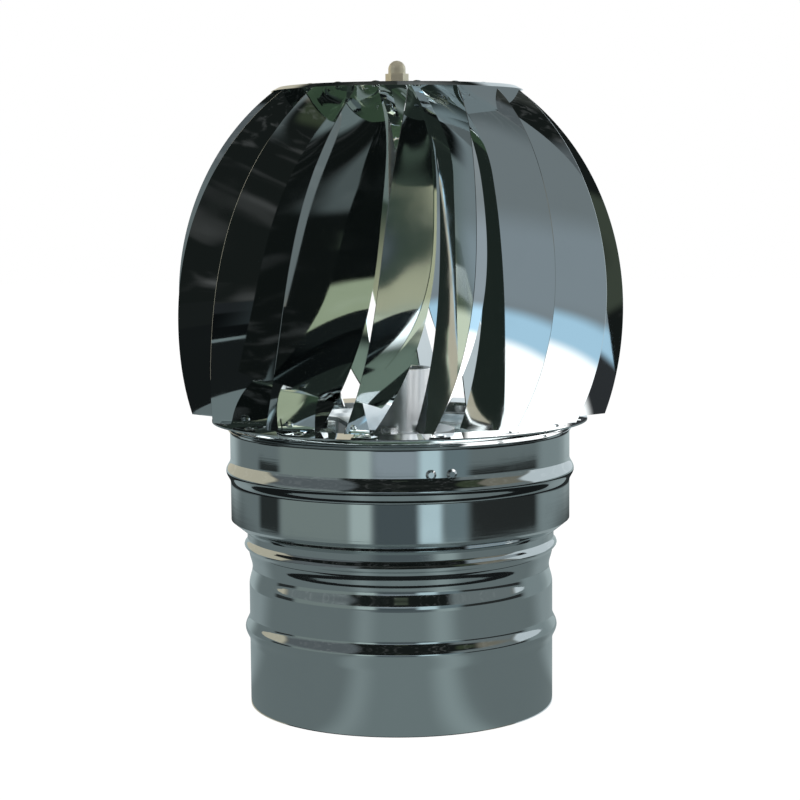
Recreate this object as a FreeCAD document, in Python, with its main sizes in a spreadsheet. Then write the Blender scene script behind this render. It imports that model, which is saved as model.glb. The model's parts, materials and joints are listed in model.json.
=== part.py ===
"""Rotating chimney cowl: a ribbed spigot and collar that carry a turning head of folded vanes.

The origin is the centre of the spigot's lower rim, +Z is up and -Y is the front.
All lengths are in millimetres and all angles in degrees.
"""
import FreeCAD, Part, Sketcher
import math
import os

Vector = FreeCAD.Vector
Z_AXIS = Vector(0, 0, 1)
ORIGIN = Vector(0, 0, 0)

SIZES = {
    # Sheet and fits
    "sheet_wall": 0.8,
    "press_gap": 0.02,
    "seat_gap": 0.05,
    "ball_gap": 0.05,
    "rivet_gap": 0.05,
    # Spigot: the pipe end with a lower bead, a waist and a stop bead
    "spigot_radius": 100.2,
    "spigot_height": 120.0,
    "bead_reach": 2.9,
    "low_bead_centre": 51.0,
    "low_bead_height": 15.0,
    "waist_drop": 29.0,
    "waist_height": 20.0,
    "waist_depth": 2.2,
    "stop_bead_drop": 14.0,
    "stop_bead_height": 8.0,
    # Collar: the wider tube that is swaged down over the spigot
    "collar_radius": 111.4,
    "neck_lap": 9.5,
    "neck_height": 4.0,
    "flare_height": 8.3,
    "collar_bead_centre": 155.0,
    "collar_bead_height": 13.0,
    "rim_base": 180.2,
    "rim_height": 3.5,
    "rim_reach": 1.3,
    # Bridge across the collar, with a foot bent down at each end
    "bridge_angle": 13.0,
    "bridge_width": 40.0,
    "bridge_wall": 3.0,
    "bridge_top": 176.5,
    "bridge_foot": 20.0,
    "bridge_hole_radius": 14.0,
    "foot_rivet_drop": 11.5,
    "foot_rivet_pitch": 13.0,
    "foot_rivet_radius": 2.0,
    "foot_rivet_head": 3.3,
    # Bearing housing and its screws
    "flange_radius": 36.0,
    "flange_wall": 4.0,
    "barrel_wall": 4.5,
    "lip_wall": 3.0,
    "lip_radius": 12.0,
    "barrel_end": 2.0,
    "bolt_reach": 25.0,
    "bolt_spread": 13.0,
    "bolt_radius": 3.0,
    "bolt_gap": 0.3,
    "bolt_flats": 10.0,
    "bolt_head": 4.0,
    "bolt_nut": 5.0,
    "bolt_tail": 2.0,
    "drill_margin": 1.0,
    # Ball bearings
    "race_bore": 6.0,
    "race_radius": 16.0,
    "race_width": 10.0,
    "inner_shoulder": 8.6,
    "outer_shoulder": 13.4,
    "ball_radius": 3.0,
    "ball_count": 7,
    "cage_wall": 1.4,
    "cage_height": 7.6,
    "pocket_gap": 0.2,
    "bearing_spacing": 18.0,
    "inner_spacer_wall": 2.0,
    "outer_spacer_wall": 2.0,
    "clip_wall": 1.2,
    "clip_depth": 1.0,
    "clip_width": 3.2,
    "clip_opening": 40.0,
    # Spindle and its nuts
    "spindle_end": 165.0,
    "spindle_collar_radius": 8.4,
    "spindle_collar_height": 4.0,
    "spindle_washer_wall": 1.5,
    "spindle_washer_radius": 8.3,
    "spindle_nut_flats": 18.0,
    "spindle_nut_height": 9.0,
    "stud_radius": 4.0,
    "stud_reach": 10.5,
    "stiffener_radius": 28.0,
    "stiffener_wall": 2.0,
    "crown_washer_radius": 8.0,
    "crown_washer_wall": 1.6,
    "cap_nut_flats": 13.0,
    "cap_nut_hex": 7.0,
    "cap_nut_height": 15.4,
    "cap_nut_dome": 5.6,
    # Head: dome outline, crown plate and lower ring
    "crown_top": 402.6,
    "crown_radius": 77.0,
    "crown_skirt_drop": 2.5,
    "crown_skirt_reach": 4.5,
    "dome_radius": 146.6,
    "dome_level": 260.0,
    "dome_rise": 168.0,
    "dome_fall": 183.0,
    "ring_top": 188.2,
    "ring_wall": 1.0,
    "ring_inner": 95.0,
    "ring_outer": 123.0,
    "ring_lip": 6.0,
    "hem_rise": 0.12,
    # Vanes: each is one sheet folded along a leaning ridge
    "vane_count": 16,
    "lean_middle": -4.0,
    "lean_linear": 4.9,
    "lean_square": -0.9,
    "lean_cubic": 5.3,
    "lap_angle": 18.6,
    "lap_level": 315.0,
    "lap_rise": 92.0,
    "lap_rise_power": 4.0,
    "lap_fall": 145.0,
    "lap_fall_power": 2.2,
    "lap_least_share": 0.1,
    "flap_share": 0.635,
    "flap_share_gain": 0.04,
    "web_share": 0.56,
    "web_swing": 21.0,
    "web_swing_level": 343.0,
    "web_swing_power": 2.3,
    "fold_length": 0.7,
    "foot_tab_radius": 113.0,
    "foot_tab_length": 14.0,
    "foot_tab_width": 13.0,
    "crown_tab_radius": 64.0,
    "crown_tab_length": 12.0,
    "crown_tab_width": 8.5,
    "tab_end_share": 0.6,
    "tab_rivet_share": 0.55,
    "vane_rivet_radius": 1.6,
    "vane_rivet_head": 3.0,
    "rivet_cap": 1.2,
    "rivet_cap_share": 0.55,
    "rivet_tail": 1.0,
    "rivet_tail_share": 0.8,
    "drill_reach": 5.0,
}

SECTION_COUNT = 13
LOFT_MARGIN = 3.0
NODES = []

document = FreeCAD.newDocument("chimney_cowl")
sheet = document.addObject("Spreadsheet::Sheet", "sizes")
for row, (size_name, size_value) in enumerate(SIZES.items(), start=1):
    sheet.set(f"A{row}", size_name)
    sheet.set(f"B{row}", str(size_value))
    sheet.setAlias(f"B{row}", size_name)
document.recompute()


def size(name):
    """Return one driving dimension as the sheet holds it."""
    return float(getattr(sheet, name))


def keep(item, label):
    """Give a finished sub-part its own label and list it for export."""
    item.Label = label
    NODES.append(item)
    return item


# Turned and pressed pieces: a half outline in a sketch, revolved about the axis.
# An outline is a list of (radius, height) expressions. A third entry is the radius of the arc
# that arrives at the point, and a fourth says if the arc bulges from the axis (1) or to it (-1).
def arc_middle(start, end, radius, side):
    """Return the middle of an arc between two outline points."""
    chord = end - start
    half = chord.Length / 2
    sagitta = radius - math.sqrt(max(radius * radius - half * half, 0.0))
    normal = Vector(chord.y, -chord.x, 0).normalize()
    if normal.x * side < 0:
        normal = normal * -1
    return (start + end) * 0.5 + normal * sagitta


def turned(label, outline):
    """Revolve a closed half outline, whose corners are bound to the sheet."""
    body = document.addObject("PartDesign::Body", "Body_" + label)
    plane = next(item for item in body.Origin.OriginFeatures if item.Role == "XZ_Plane")
    sketch = body.newObject("Sketcher::SketchObject", "Outline_" + label)
    sketch.AttachmentSupport = [(plane, "")]
    sketch.MapMode = "FlatFace"
    corners = []
    for entry in outline:
        radius = float(sketch.evalExpression(entry[0]))
        height = float(sketch.evalExpression(entry[1]))
        corners.append(Vector(radius, height, 0))
    first_points = []
    for index, corner in enumerate(corners):
        following = (index + 1) % len(corners)
        arriving = outline[following]
        if len(arriving) == 4:
            radius = float(sketch.evalExpression(arriving[2]))
            middle = arc_middle(corner, corners[following], radius, arriving[3])
            curve = Part.Arc(corner, middle, corners[following])
            geometry = sketch.addGeometry(curve, False)
            forward = (sketch.getPoint(geometry, 1) - corner).Length < 1e-6
            first_points.append((geometry, 1 if forward else 2, 2 if forward else 1))
            place = sketch.addConstraint(Sketcher.Constraint("Radius", geometry, radius))
            sketch.setExpression(f"Constraints[{place}]", arriving[2])
        else:
            line = Part.LineSegment(corner, corners[following])
            geometry = sketch.addGeometry(line, False)
            first_points.append((geometry, 1, 2))
    for index, (geometry, start, end) in enumerate(first_points):
        following, following_start, _ = first_points[(index + 1) % len(first_points)]
        joint = Sketcher.Constraint("Coincident", geometry, end, following, following_start)
        sketch.addConstraint(joint)
    for index, (geometry, start, _) in enumerate(first_points):
        for kind, axis, text, value in (
            ("DistanceX", -2, outline[index][0], corners[index].x),
            ("DistanceY", -1, outline[index][1], corners[index].y),
        ):
            if abs(value) < 1e-9:
                sketch.addConstraint(Sketcher.Constraint("PointOnObject", geometry, start, axis))
                continue
            limit = Sketcher.Constraint(kind, -1, 1, geometry, start, value)
            place = sketch.addConstraint(limit)
            sketch.setExpression(f"Constraints[{place}]", text)
    revolution = body.newObject("PartDesign::Revolution", "Turn_" + label)
    revolution.Profile = sketch
    revolution.ReferenceAxis = (sketch, ["V_Axis"])
    revolution.Angle = 360.0
    body.Tip = revolution
    document.recompute()
    return body


def bead_arc(height_text, reach_text):
    """Return the expression for the radius of a bead's arc over its height and reach."""
    return f"(({height_text}) ^ 2 / 4 + ({reach_text}) ^ 2) / (2 * ({reach_text}))"


def banded_wall(wall_radius, bands):
    """Return one side of a wall with beads, from the bottom band to the top one."""
    points = []
    for centre, height, reach, side in bands:
        points.append((wall_radius, f"{centre} - {height} / 2"))
        points.append((wall_radius, f"{centre} + {height} / 2", bead_arc(height, reach), side))
    return points


def both_sides(bottom, bands, top, outer_radius, inner_radius):
    """Return the closed outline of a thin tube whose beads show on both sides."""
    outer = [(outer_radius, bottom)] + banded_wall(outer_radius, bands) + [(outer_radius, top)]
    inner = [(inner_radius, top)]
    for centre, height, reach, side in reversed(bands):
        inner.append((inner_radius, f"{centre} + {height} / 2"))
        inner.append((inner_radius, f"{centre} - {height} / 2", bead_arc(height, reach), side))
    return outer + inner + [(inner_radius, bottom)]


# Base tubes: the waist and the stop bead are placed down from the spigot's upper end
WAIST = "(sizes.spigot_height - sizes.waist_drop)"
STOP_BEAD = "(sizes.spigot_height - sizes.stop_bead_drop)"
SPIGOT_BANDS = [
    ("sizes.low_bead_centre", "sizes.low_bead_height", "sizes.bead_reach", 1),
    (WAIST, "sizes.waist_height", "sizes.waist_depth", -1),
    (STOP_BEAD, "sizes.stop_bead_height", "sizes.bead_reach", 1),
]
SPIGOT_INNER = "sizes.spigot_radius - sizes.sheet_wall"
spigot = turned(
    "spigot",
    both_sides("0", SPIGOT_BANDS, "sizes.spigot_height", "sizes.spigot_radius", SPIGOT_INNER),
)
keep(spigot, "spigot")

COLLAR_INNER = "sizes.collar_radius - sizes.sheet_wall"
NECK_INNER = "sizes.spigot_radius + sizes.seat_gap"
NECK_OUTER = NECK_INNER + " + sizes.sheet_wall"
COLLAR_BANDS = [
    ("sizes.collar_bead_centre", "sizes.collar_bead_height", "sizes.bead_reach", 1),
]
NECK_BASE = "(sizes.spigot_height - sizes.neck_lap)"
FLARE_BASE = f"({NECK_BASE} + sizes.neck_height)"
FLARE_TOP = f"({FLARE_BASE} + sizes.flare_height)"
RIM_TOP = "sizes.rim_base + sizes.rim_height"
RIM_ARC = bead_arc("sizes.rim_height", "sizes.rim_reach")
collar_outline = [(NECK_OUTER, NECK_BASE)]
collar_outline.append((NECK_OUTER, FLARE_BASE))
collar_outline.append(("sizes.collar_radius", FLARE_TOP))
collar_outline += banded_wall("sizes.collar_radius", COLLAR_BANDS)
collar_outline.append(("sizes.collar_radius", "sizes.rim_base"))
collar_outline.append(("sizes.collar_radius", RIM_TOP, RIM_ARC, 1))
collar_outline.append((COLLAR_INNER, RIM_TOP))
for centre, height, reach, side in COLLAR_BANDS:
    collar_outline.append((COLLAR_INNER, f"{centre} + {height} / 2"))
    collar_outline.append(
        (COLLAR_INNER, f"{centre} - {height} / 2", bead_arc(height, reach), side)
    )
collar_outline.append((COLLAR_INNER, f"{FLARE_TOP} + sizes.sheet_wall"))
collar_outline.append((NECK_INNER, f"{FLARE_BASE} + sizes.sheet_wall"))
collar_outline.append((NECK_INNER, NECK_BASE))
collar_tube = turned("collar_tube", collar_outline)


# Boolean helpers that keep their operands in the document
def bound(kind, name, **expressions):
    """Add a primitive whose properties follow the sheet. Double underscores stand for dots."""
    item = document.addObject(kind, name)
    for key, text in expressions.items():
        item.setExpression(key.replace("__", "."), text)
    return item


def cut(name, base, tool):
    """Return base without tool."""
    item = document.addObject("Part::Cut", name)
    item.Base = base
    item.Tool = tool
    return item


def joined(name, items):
    """Return several shapes as one."""
    item = document.addObject("Part::MultiFuse", name)
    item.Shapes = items
    return item


def shaped(name, shape):
    """Put a shape that is worked out in code into the document."""
    item = document.addObject("Part::Feature", name)
    item.Shape = shape
    return item


# Foot rivets and the holes for them
def around(shape, angle):
    """Return a copy of the shape turned about the cowl's axis."""
    copy = shape.copy()
    copy.rotate(ORIGIN, Z_AXIS, angle)
    return copy


def front_angle():
    """Return the turn about Z that brings +X to the bridge's front foot."""
    return size("bridge_angle") - 90.0


def headed_rivet(shank, head, grip):
    """Return a rivet along Z: its head above zero, its shank and its upset tail below."""
    tail = size("rivet_tail")
    cap = Part.makeCone(head, head * size("rivet_cap_share"), size("rivet_cap"))
    stem = Part.makeCylinder(shank, grip, Vector(0, 0, -grip))
    foot = Part.makeCylinder(head * size("rivet_tail_share"), tail, Vector(0, 0, -grip - tail))
    return cap.fuse([stem, foot]).removeSplitter()


def foot_places():
    """Return the turns about Z of the four foot rivets."""
    half_turn = math.degrees(math.asin(size("foot_rivet_pitch") / 2 / size("collar_radius")))
    return [front_angle() + side + step for side in (0.0, 180.0) for step in (-half_turn, half_turn)]


def radial(shape):
    """Turn a shape that was made along Z to point out along X at the foot rivets' height."""
    copy = shape.copy()
    copy.rotate(ORIGIN, Vector(0, 1, 0), 90.0)
    copy.translate(Vector(size("collar_radius"), 0, size("bridge_top") - size("foot_rivet_drop")))
    return copy


foot_grip = size("sheet_wall") + size("seat_gap") + size("bridge_wall") + size("seat_gap")
foot_rivet = headed_rivet(size("foot_rivet_radius"), size("foot_rivet_head"), foot_grip)
foot_drill = Part.makeCylinder(
    size("foot_rivet_radius") + size("rivet_gap"), 4 * foot_grip, Vector(0, 0, -3 * foot_grip)
)
bridge_rivets = shaped(
    "bridge_rivets", Part.makeCompound([around(radial(foot_rivet), turn) for turn in foot_places()])
)
keep(bridge_rivets, "bridge_rivets")
foot_holes = shaped(
    "foot_holes", Part.makeCompound([around(radial(foot_drill), turn) for turn in foot_places()])
)
keep(cut("collar_cut", collar_tube, foot_holes), "collar")

# Bridge: a flat bar with curved feet that follow the inside of the collar
FOOT_OUTER = COLLAR_INNER + " - sizes.seat_gap"
BRIDGE_TURN = "sizes.bridge_angle - 90"
bar_block = bound(
    "Part::Box", "bar_block",
    Length=f"2 * ({FOOT_OUTER})",
    Width="sizes.bridge_width",
    Height="sizes.bridge_wall",
    Placement__Base__x=f"-({FOOT_OUTER})",
    Placement__Base__y="-sizes.bridge_width / 2",
    Placement__Base__z="sizes.bridge_top - sizes.bridge_wall",
)
foot_block = bound(
    "Part::Box", "foot_block",
    Length=f"2 * ({FOOT_OUTER})",
    Width="sizes.bridge_width",
    Height="sizes.bridge_foot",
    Placement__Base__x=f"-({FOOT_OUTER})",
    Placement__Base__y="-sizes.bridge_width / 2",
    Placement__Base__z="sizes.bridge_top - sizes.bridge_foot",
)
foot_round = bound(
    "Part::Cylinder", "foot_round",
    Radius=FOOT_OUTER,
    Height="sizes.bridge_foot",
    Placement__Base__z="sizes.bridge_top - sizes.bridge_foot",
)
foot_hollow = bound(
    "Part::Cylinder", "foot_hollow",
    Radius=f"{FOOT_OUTER} - sizes.bridge_wall",
    Height="sizes.bridge_foot - sizes.bridge_wall",
    Placement__Base__z="sizes.bridge_top - sizes.bridge_foot",
)
foot_ring = cut("foot_ring", foot_round, foot_hollow)
foot_pair = document.addObject("Part::Common", "foot_pair")
foot_pair.Base = foot_ring
foot_pair.Tool = foot_block
bar_round = bound(
    "Part::Cylinder", "bar_round",
    Radius=FOOT_OUTER,
    Height="sizes.bridge_wall",
    Placement__Base__z="sizes.bridge_top - sizes.bridge_wall",
)
bar_flat = document.addObject("Part::Common", "bar_flat")
bar_flat.Base = bar_block
bar_flat.Tool = bar_round
bridge_hole = bound(
    "Part::Cylinder", "bridge_hole",
    Radius="sizes.bridge_hole_radius",
    Height="3 * sizes.bridge_wall",
    Placement__Base__z="sizes.bridge_top - 2 * sizes.bridge_wall",
)


def bolt_places():
    """Return the four places of the housing's screws."""
    reach = size("bolt_reach")
    spread = size("bolt_spread")
    return [Vector(x, y, 0) for x in (-reach, reach) for y in (-spread, spread)]


def bolt_drills(height, base):
    """Return the four clearance holes of the housing's screws as one shape."""
    radius = size("bolt_radius") + size("bolt_gap")
    drills = []
    for place in bolt_places():
        drills.append(Part.makeCylinder(radius, height, place + Vector(0, 0, base)))
    return Part.makeCompound(drills)


drill_height = size("bridge_wall") + size("flange_wall") + 2 * size("drill_margin")
drill_base = size("bridge_top") - size("bridge_wall") - size("drill_margin")
bolt_holes = shaped("bolt_holes", bolt_drills(drill_height, drill_base))
bridge_holes = joined("bridge_holes", [bridge_hole, bolt_holes])
bridge_plain = cut("bridge_plain", joined("bridge_blank", [foot_pair, bar_flat]), bridge_holes)
document.recompute()
bridge = shaped(
    "bridge", around(bridge_plain.Shape, front_angle()).cut(foot_holes.Shape).removeSplitter()
)
keep(bridge, "bridge")

# Bearing housing: a flange on the bridge and a barrel with a lip under the lower bearing
LOWER_RACE = "sizes.bridge_top + sizes.lip_wall"
UPPER_RACE = f"{LOWER_RACE} + sizes.race_width + sizes.bearing_spacing"
CLIP_BASE = f"{UPPER_RACE} + sizes.race_width"
CLIP_TOP = f"{CLIP_BASE} + sizes.clip_wall"
BARREL_BORE = "sizes.race_radius + sizes.press_gap"
BARREL_TOP = f"{CLIP_TOP} + sizes.barrel_end"
BARREL_OUTER = f"{BARREL_BORE} + sizes.barrel_wall"
CLIP_GROOVE = f"{BARREL_BORE} + sizes.clip_depth"
FLANGE_TOP = "sizes.bridge_top + sizes.flange_wall"
housing_blank = turned("housing_blank", [
    ("sizes.lip_radius", "sizes.bridge_top"),
    ("sizes.flange_radius", "sizes.bridge_top"),
    ("sizes.flange_radius", FLANGE_TOP),
    (BARREL_OUTER, FLANGE_TOP),
    (BARREL_OUTER, BARREL_TOP),
    (BARREL_BORE, BARREL_TOP),
    (BARREL_BORE, CLIP_TOP),
    (CLIP_GROOVE, CLIP_TOP),
    (CLIP_GROOVE, CLIP_BASE),
    (BARREL_BORE, CLIP_BASE),
    (BARREL_BORE, LOWER_RACE),
    ("sizes.lip_radius", LOWER_RACE),
])
housing_drilled = housing_blank.Shape.cut(bolt_holes.Shape)
housing = shaped("bearing_housing", around(housing_drilled, front_angle()))
keep(housing, "bearing_housing")


# Hexagon screws and nuts
def hexagon(flats, height, base):
    """Return a hexagonal prism on the axis, with its flats the given distance apart."""
    reach = flats / math.sqrt(3)
    corners = []
    for step in range(7):
        angle = math.radians(60 * step)
        corners.append(Vector(reach * math.cos(angle), reach * math.sin(angle), base))
    return Part.Face(Part.makePolygon(corners)).extrude(Vector(0, 0, height))


def at_bolts(shape):
    """Return the shape at each of the housing's screws."""
    copies = []
    for place in bolt_places():
        copy = shape.copy()
        copy.translate(place)
        copies.append(around(copy, front_angle()))
    return Part.makeCompound(copies)


flange_top = size("bridge_top") + size("flange_wall")
bridge_under = size("bridge_top") - size("bridge_wall")
bolt_length = flange_top - bridge_under + size("bolt_nut") + size("bolt_tail")
bolt_foot = Vector(0, 0, flange_top - bolt_length)
bolt_stem = Part.makeCylinder(size("bolt_radius"), bolt_length, bolt_foot)
bolt_shape = hexagon(size("bolt_flats"), size("bolt_head"), flange_top).fuse(bolt_stem)
nut_base = bridge_under - size("bolt_nut")
nut_radius = size("bolt_radius") + size("press_gap")
nut_bore = Part.makeCylinder(nut_radius, size("bolt_nut"), Vector(0, 0, nut_base))
nut_block = hexagon(size("bolt_flats"), size("bolt_nut"), nut_base)
keep(shaped("housing_bolts", at_bolts(bolt_shape)), "housing_bolts")
keep(shaped("housing_nuts", at_bolts(nut_block.cut(nut_bore))), "housing_nuts")

# Ball bearings: two of one size, with spacers between their races
PITCH = "(sizes.inner_shoulder + sizes.outer_shoulder) / 2"
GROOVE = "sizes.ball_radius + sizes.ball_gap"


def groove_reach(shoulder_distance):
    """Return the expression for half the groove's opening at a race's shoulder."""
    return f"sqrt(({GROOVE}) ^ 2 - ({shoulder_distance}) ^ 2)"


def race(label, wall, shoulder, side, base):
    """Make one race ring. Its groove is cut into the shoulder's side."""
    middle = f"{base} + sizes.race_width / 2"
    half = groove_reach(f"{shoulder} - {PITCH}")
    top = f"{base} + sizes.race_width"
    outline = [(wall, base), (wall, top), (shoulder, top)]
    outline.append((shoulder, f"{middle} + {half}"))
    outline.append((shoulder, f"{middle} - {half}", GROOVE, side))
    outline.append((shoulder, base))
    return keep(turned(label, outline), label)


def tube(label, inner, outer, base, height):
    """Make a plain turned ring or sleeve."""
    top = f"{base} + {height}"
    outline = [(inner, base), (outer, base), (outer, top), (inner, top)]
    return keep(turned(label, outline), label)


def ball_places(level):
    """Return the centres of one bearing's balls."""
    pitch = (size("inner_shoulder") + size("outer_shoulder")) / 2
    count = int(size("ball_count"))
    centres = []
    for index in range(count):
        angle = 2 * math.pi * index / count
        centres.append(Vector(pitch * math.cos(angle), pitch * math.sin(angle), level))
    return centres


def bearing(prefix, base_text):
    """Make the races, balls and cage of one bearing on the given level."""
    race(prefix + "_outer_race", "sizes.race_radius", "sizes.outer_shoulder", 1, base_text)
    race(prefix + "_inner_race", "sizes.race_bore", "sizes.inner_shoulder", -1, base_text)
    level = float(sheet.evalExpression(base_text)) + size("race_width") / 2
    centres = ball_places(level)
    balls = [Part.makeSphere(size("ball_radius"), centre) for centre in centres]
    pitch = (size("inner_shoulder") + size("outer_shoulder")) / 2
    foot = Vector(0, 0, level - size("cage_height") / 2)
    outer = Part.makeCylinder(pitch + size("cage_wall") / 2, size("cage_height"), foot)
    inner = Part.makeCylinder(pitch - size("cage_wall") / 2, size("cage_height"), foot)
    pocket = 2 * (size("ball_radius") + size("pocket_gap"))
    window = Part.makeBox(pitch, pocket, pocket, Vector(pitch / 2, -pocket / 2, level - pocket / 2))
    turns = [360.0 * index / len(centres) for index in range(len(centres))]
    pockets = [around(window, turn) for turn in turns]
    keep(shaped(prefix + "_balls", Part.makeCompound(balls)), prefix + "_balls")
    keep(shaped(prefix + "_cage", outer.cut(inner).cut(pockets)), prefix + "_cage")


bearing("lower", LOWER_RACE)
bearing("upper", UPPER_RACE)
SPACER_BASE = f"{LOWER_RACE} + sizes.race_width"
SPACER_INNER = "sizes.race_radius - sizes.outer_spacer_wall"
tube("outer_spacer", SPACER_INNER, "sizes.race_radius", SPACER_BASE, "sizes.bearing_spacing")
tube(
    "inner_spacer", "sizes.race_bore", "sizes.race_bore + sizes.inner_spacer_wall", SPACER_BASE,
    "sizes.bearing_spacing",
)

# Retaining ring with its opening
clip_level = float(sheet.evalExpression(CLIP_BASE))
clip_outer = float(sheet.evalExpression(CLIP_GROOVE)) - size("seat_gap")
clip_disc = Part.makeCylinder(clip_outer, size("clip_wall"), Vector(0, 0, clip_level))
clip_inner = clip_outer - size("clip_width")
clip_bore = Part.makeCylinder(clip_inner, size("clip_wall"), Vector(0, 0, clip_level))
clip_gap = Part.makeCylinder(
    2 * clip_outer, size("clip_wall"), Vector(0, 0, clip_level), Z_AXIS, size("clip_opening")
)
keep(shaped("retaining_ring", clip_disc.cut([clip_bore, clip_gap])), "retaining_ring")

# Spindle: a shaft with a collar on the upper bearing and a stud through the crown
SPINDLE_RADIUS = "sizes.race_bore - sizes.press_gap"
CROWN_UNDER = "sizes.crown_top - sizes.sheet_wall"
STIFFENER_BASE = f"{CROWN_UNDER} - sizes.stiffener_wall"
COLLAR_TOP = f"{CLIP_BASE} + sizes.spindle_collar_height"
spindle = turned("spindle", [
    ("0", "sizes.spindle_end"),
    (SPINDLE_RADIUS, "sizes.spindle_end"),
    (SPINDLE_RADIUS, CLIP_BASE),
    ("sizes.spindle_collar_radius", CLIP_BASE),
    ("sizes.spindle_collar_radius", COLLAR_TOP),
    (SPINDLE_RADIUS, COLLAR_TOP),
    (SPINDLE_RADIUS, STIFFENER_BASE),
    ("sizes.stud_radius", STIFFENER_BASE),
    ("sizes.stud_radius", "sizes.crown_top + sizes.stud_reach"),
    ("0", "sizes.crown_top + sizes.stud_reach"),
])
keep(spindle, "spindle")
WASHER_BASE = f"{LOWER_RACE} - sizes.spindle_washer_wall"
tube(
    "spindle_washer", "sizes.race_bore", "sizes.spindle_washer_radius", WASHER_BASE,
    "sizes.spindle_washer_wall",
)
washer_level = float(sheet.evalExpression(WASHER_BASE))
spindle_nut_base = washer_level - size("spindle_nut_height")
spindle_nut_foot = Vector(0, 0, spindle_nut_base)
spindle_nut_block = hexagon(size("spindle_nut_flats"), size("spindle_nut_height"), spindle_nut_base)
spindle_nut_bore = Part.makeCylinder(size("race_bore"), size("spindle_nut_height"), spindle_nut_foot)
keep(shaped("spindle_nut", spindle_nut_block.cut(spindle_nut_bore)), "spindle_nut")
STUD_HOLE = "sizes.stud_radius + sizes.seat_gap"
tube("crown_stiffener", STUD_HOLE, "sizes.stiffener_radius", STIFFENER_BASE, "sizes.stiffener_wall")
tube(
    "crown_washer", STUD_HOLE, "sizes.crown_washer_radius", "sizes.crown_top",
    "sizes.crown_washer_wall",
)

# Cap nut: a hexagon with a domed end over the stud
cap_base = size("crown_top") + size("crown_washer_wall")
cap_dome = size("cap_nut_dome")
cap_top = cap_base + size("cap_nut_height")
cap_stem = Part.makeCylinder(cap_dome, cap_top - cap_dome - cap_base, Vector(0, 0, cap_base))
cap_ball = Part.makeSphere(cap_dome, Vector(0, 0, cap_top - cap_dome))
cap_bore = Part.makeCylinder(
    size("stud_radius") + size("press_gap"),
    size("crown_top") + size("stud_reach") + size("seat_gap") - cap_base,
    Vector(0, 0, cap_base),
)
cap_hexagon = hexagon(size("cap_nut_flats"), size("cap_nut_hex"), cap_base)
cap_shape = cap_hexagon.fuse([cap_stem, cap_ball]).cut(cap_bore).removeSplitter()
keep(shaped("cap_nut", cap_shape), "cap_nut")


# Vanes: horizontal sections of a folded sheet, lofted from below the ring to above the crown
def at(radius, angle, level):
    """Return a point of the head. Angle zero is the front, and it grows towards +X."""
    turn = math.radians(angle)
    return Vector(radius * math.sin(turn), -radius * math.cos(turn), level)


def span(level):
    """Return how far a level is from the middle of the vanes, from -1 to 1."""
    middle = (size("crown_top") + size("ring_top")) / 2
    return (level - middle) / (size("crown_top") - middle)


def ridge_radius(level):
    """Return the dome's radius: two quarter ellipses that meet at the widest level."""
    offset = level - size("dome_level")
    reach = size("dome_rise") if offset > 0 else size("dome_fall")
    return size("dome_radius") * math.sqrt(1 - (offset / reach) ** 2)


def ridge_angle(level):
    """Return where the ridge stands: it leans back from the crown down to the ring."""
    along = span(level)
    angle = size("lean_middle") + size("lean_linear") * along
    return angle + size("lean_square") * along ** 2 + size("lean_cubic") * along ** 3


def lap(level):
    """Return the angle from the ridge to the flap's free edge, least at the two ends."""
    offset = level - size("lap_level")
    side = "rise" if offset > 0 else "fall"
    share = abs(offset) / size("lap_" + side)
    return size("lap_angle") * max(1 - share ** size(f"lap_{side}_power"), size("lap_least_share"))


def web_swing(level):
    """Return how far the web's inner edge swings back from the ridge, below the crown only."""
    start = size("web_swing_level")
    share = max((level - start) / (size("crown_top") - start), 0.0)
    return size("web_swing") * share ** size("web_swing_power")


def vane_corners(level):
    """Return the ridge, the flap's free edge and the web's inner edge at a level."""
    radius = ridge_radius(level)
    angle = ridge_angle(level)
    share = size("flap_share") + size("flap_share_gain") * span(level) ** 4
    ridge = at(radius, angle, level)
    flap_edge = at(radius * share, angle + lap(level), level)
    web_edge = at(radius * size("web_share"), angle - web_swing(level), level)
    return ridge, flap_edge, web_edge


def square_to(direction):
    """Return the horizontal direction a quarter turn clockwise from the given one."""
    return Vector(direction.y, -direction.x, 0)


def vane_section(level):
    """Return the outline of the folded sheet at a level. The fold is blunted at the ridge."""
    ridge, flap_edge, web_edge = vane_corners(level)
    wall = size("sheet_wall")
    to_flap = (flap_edge - ridge).normalize()
    to_web = (web_edge - ridge).normalize()
    flap_side = square_to(to_flap) * (wall if square_to(to_flap).dot(to_web) > 0 else -wall)
    web_side = square_to(to_web) * (wall if square_to(to_web).dot(to_flap) > 0 else -wall)
    crease = ridge + (to_flap + to_web) * (wall / math.sin(to_flap.getAngle(to_web)))
    fold_web = ridge + to_web * size("fold_length")
    fold_flap = ridge + to_flap * size("fold_length")
    outer = [web_edge, fold_web, fold_flap, flap_edge]
    inner = [flap_edge + flap_side, crease, web_edge + web_side]
    return Part.makePolygon(outer + inner + [web_edge])


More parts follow.
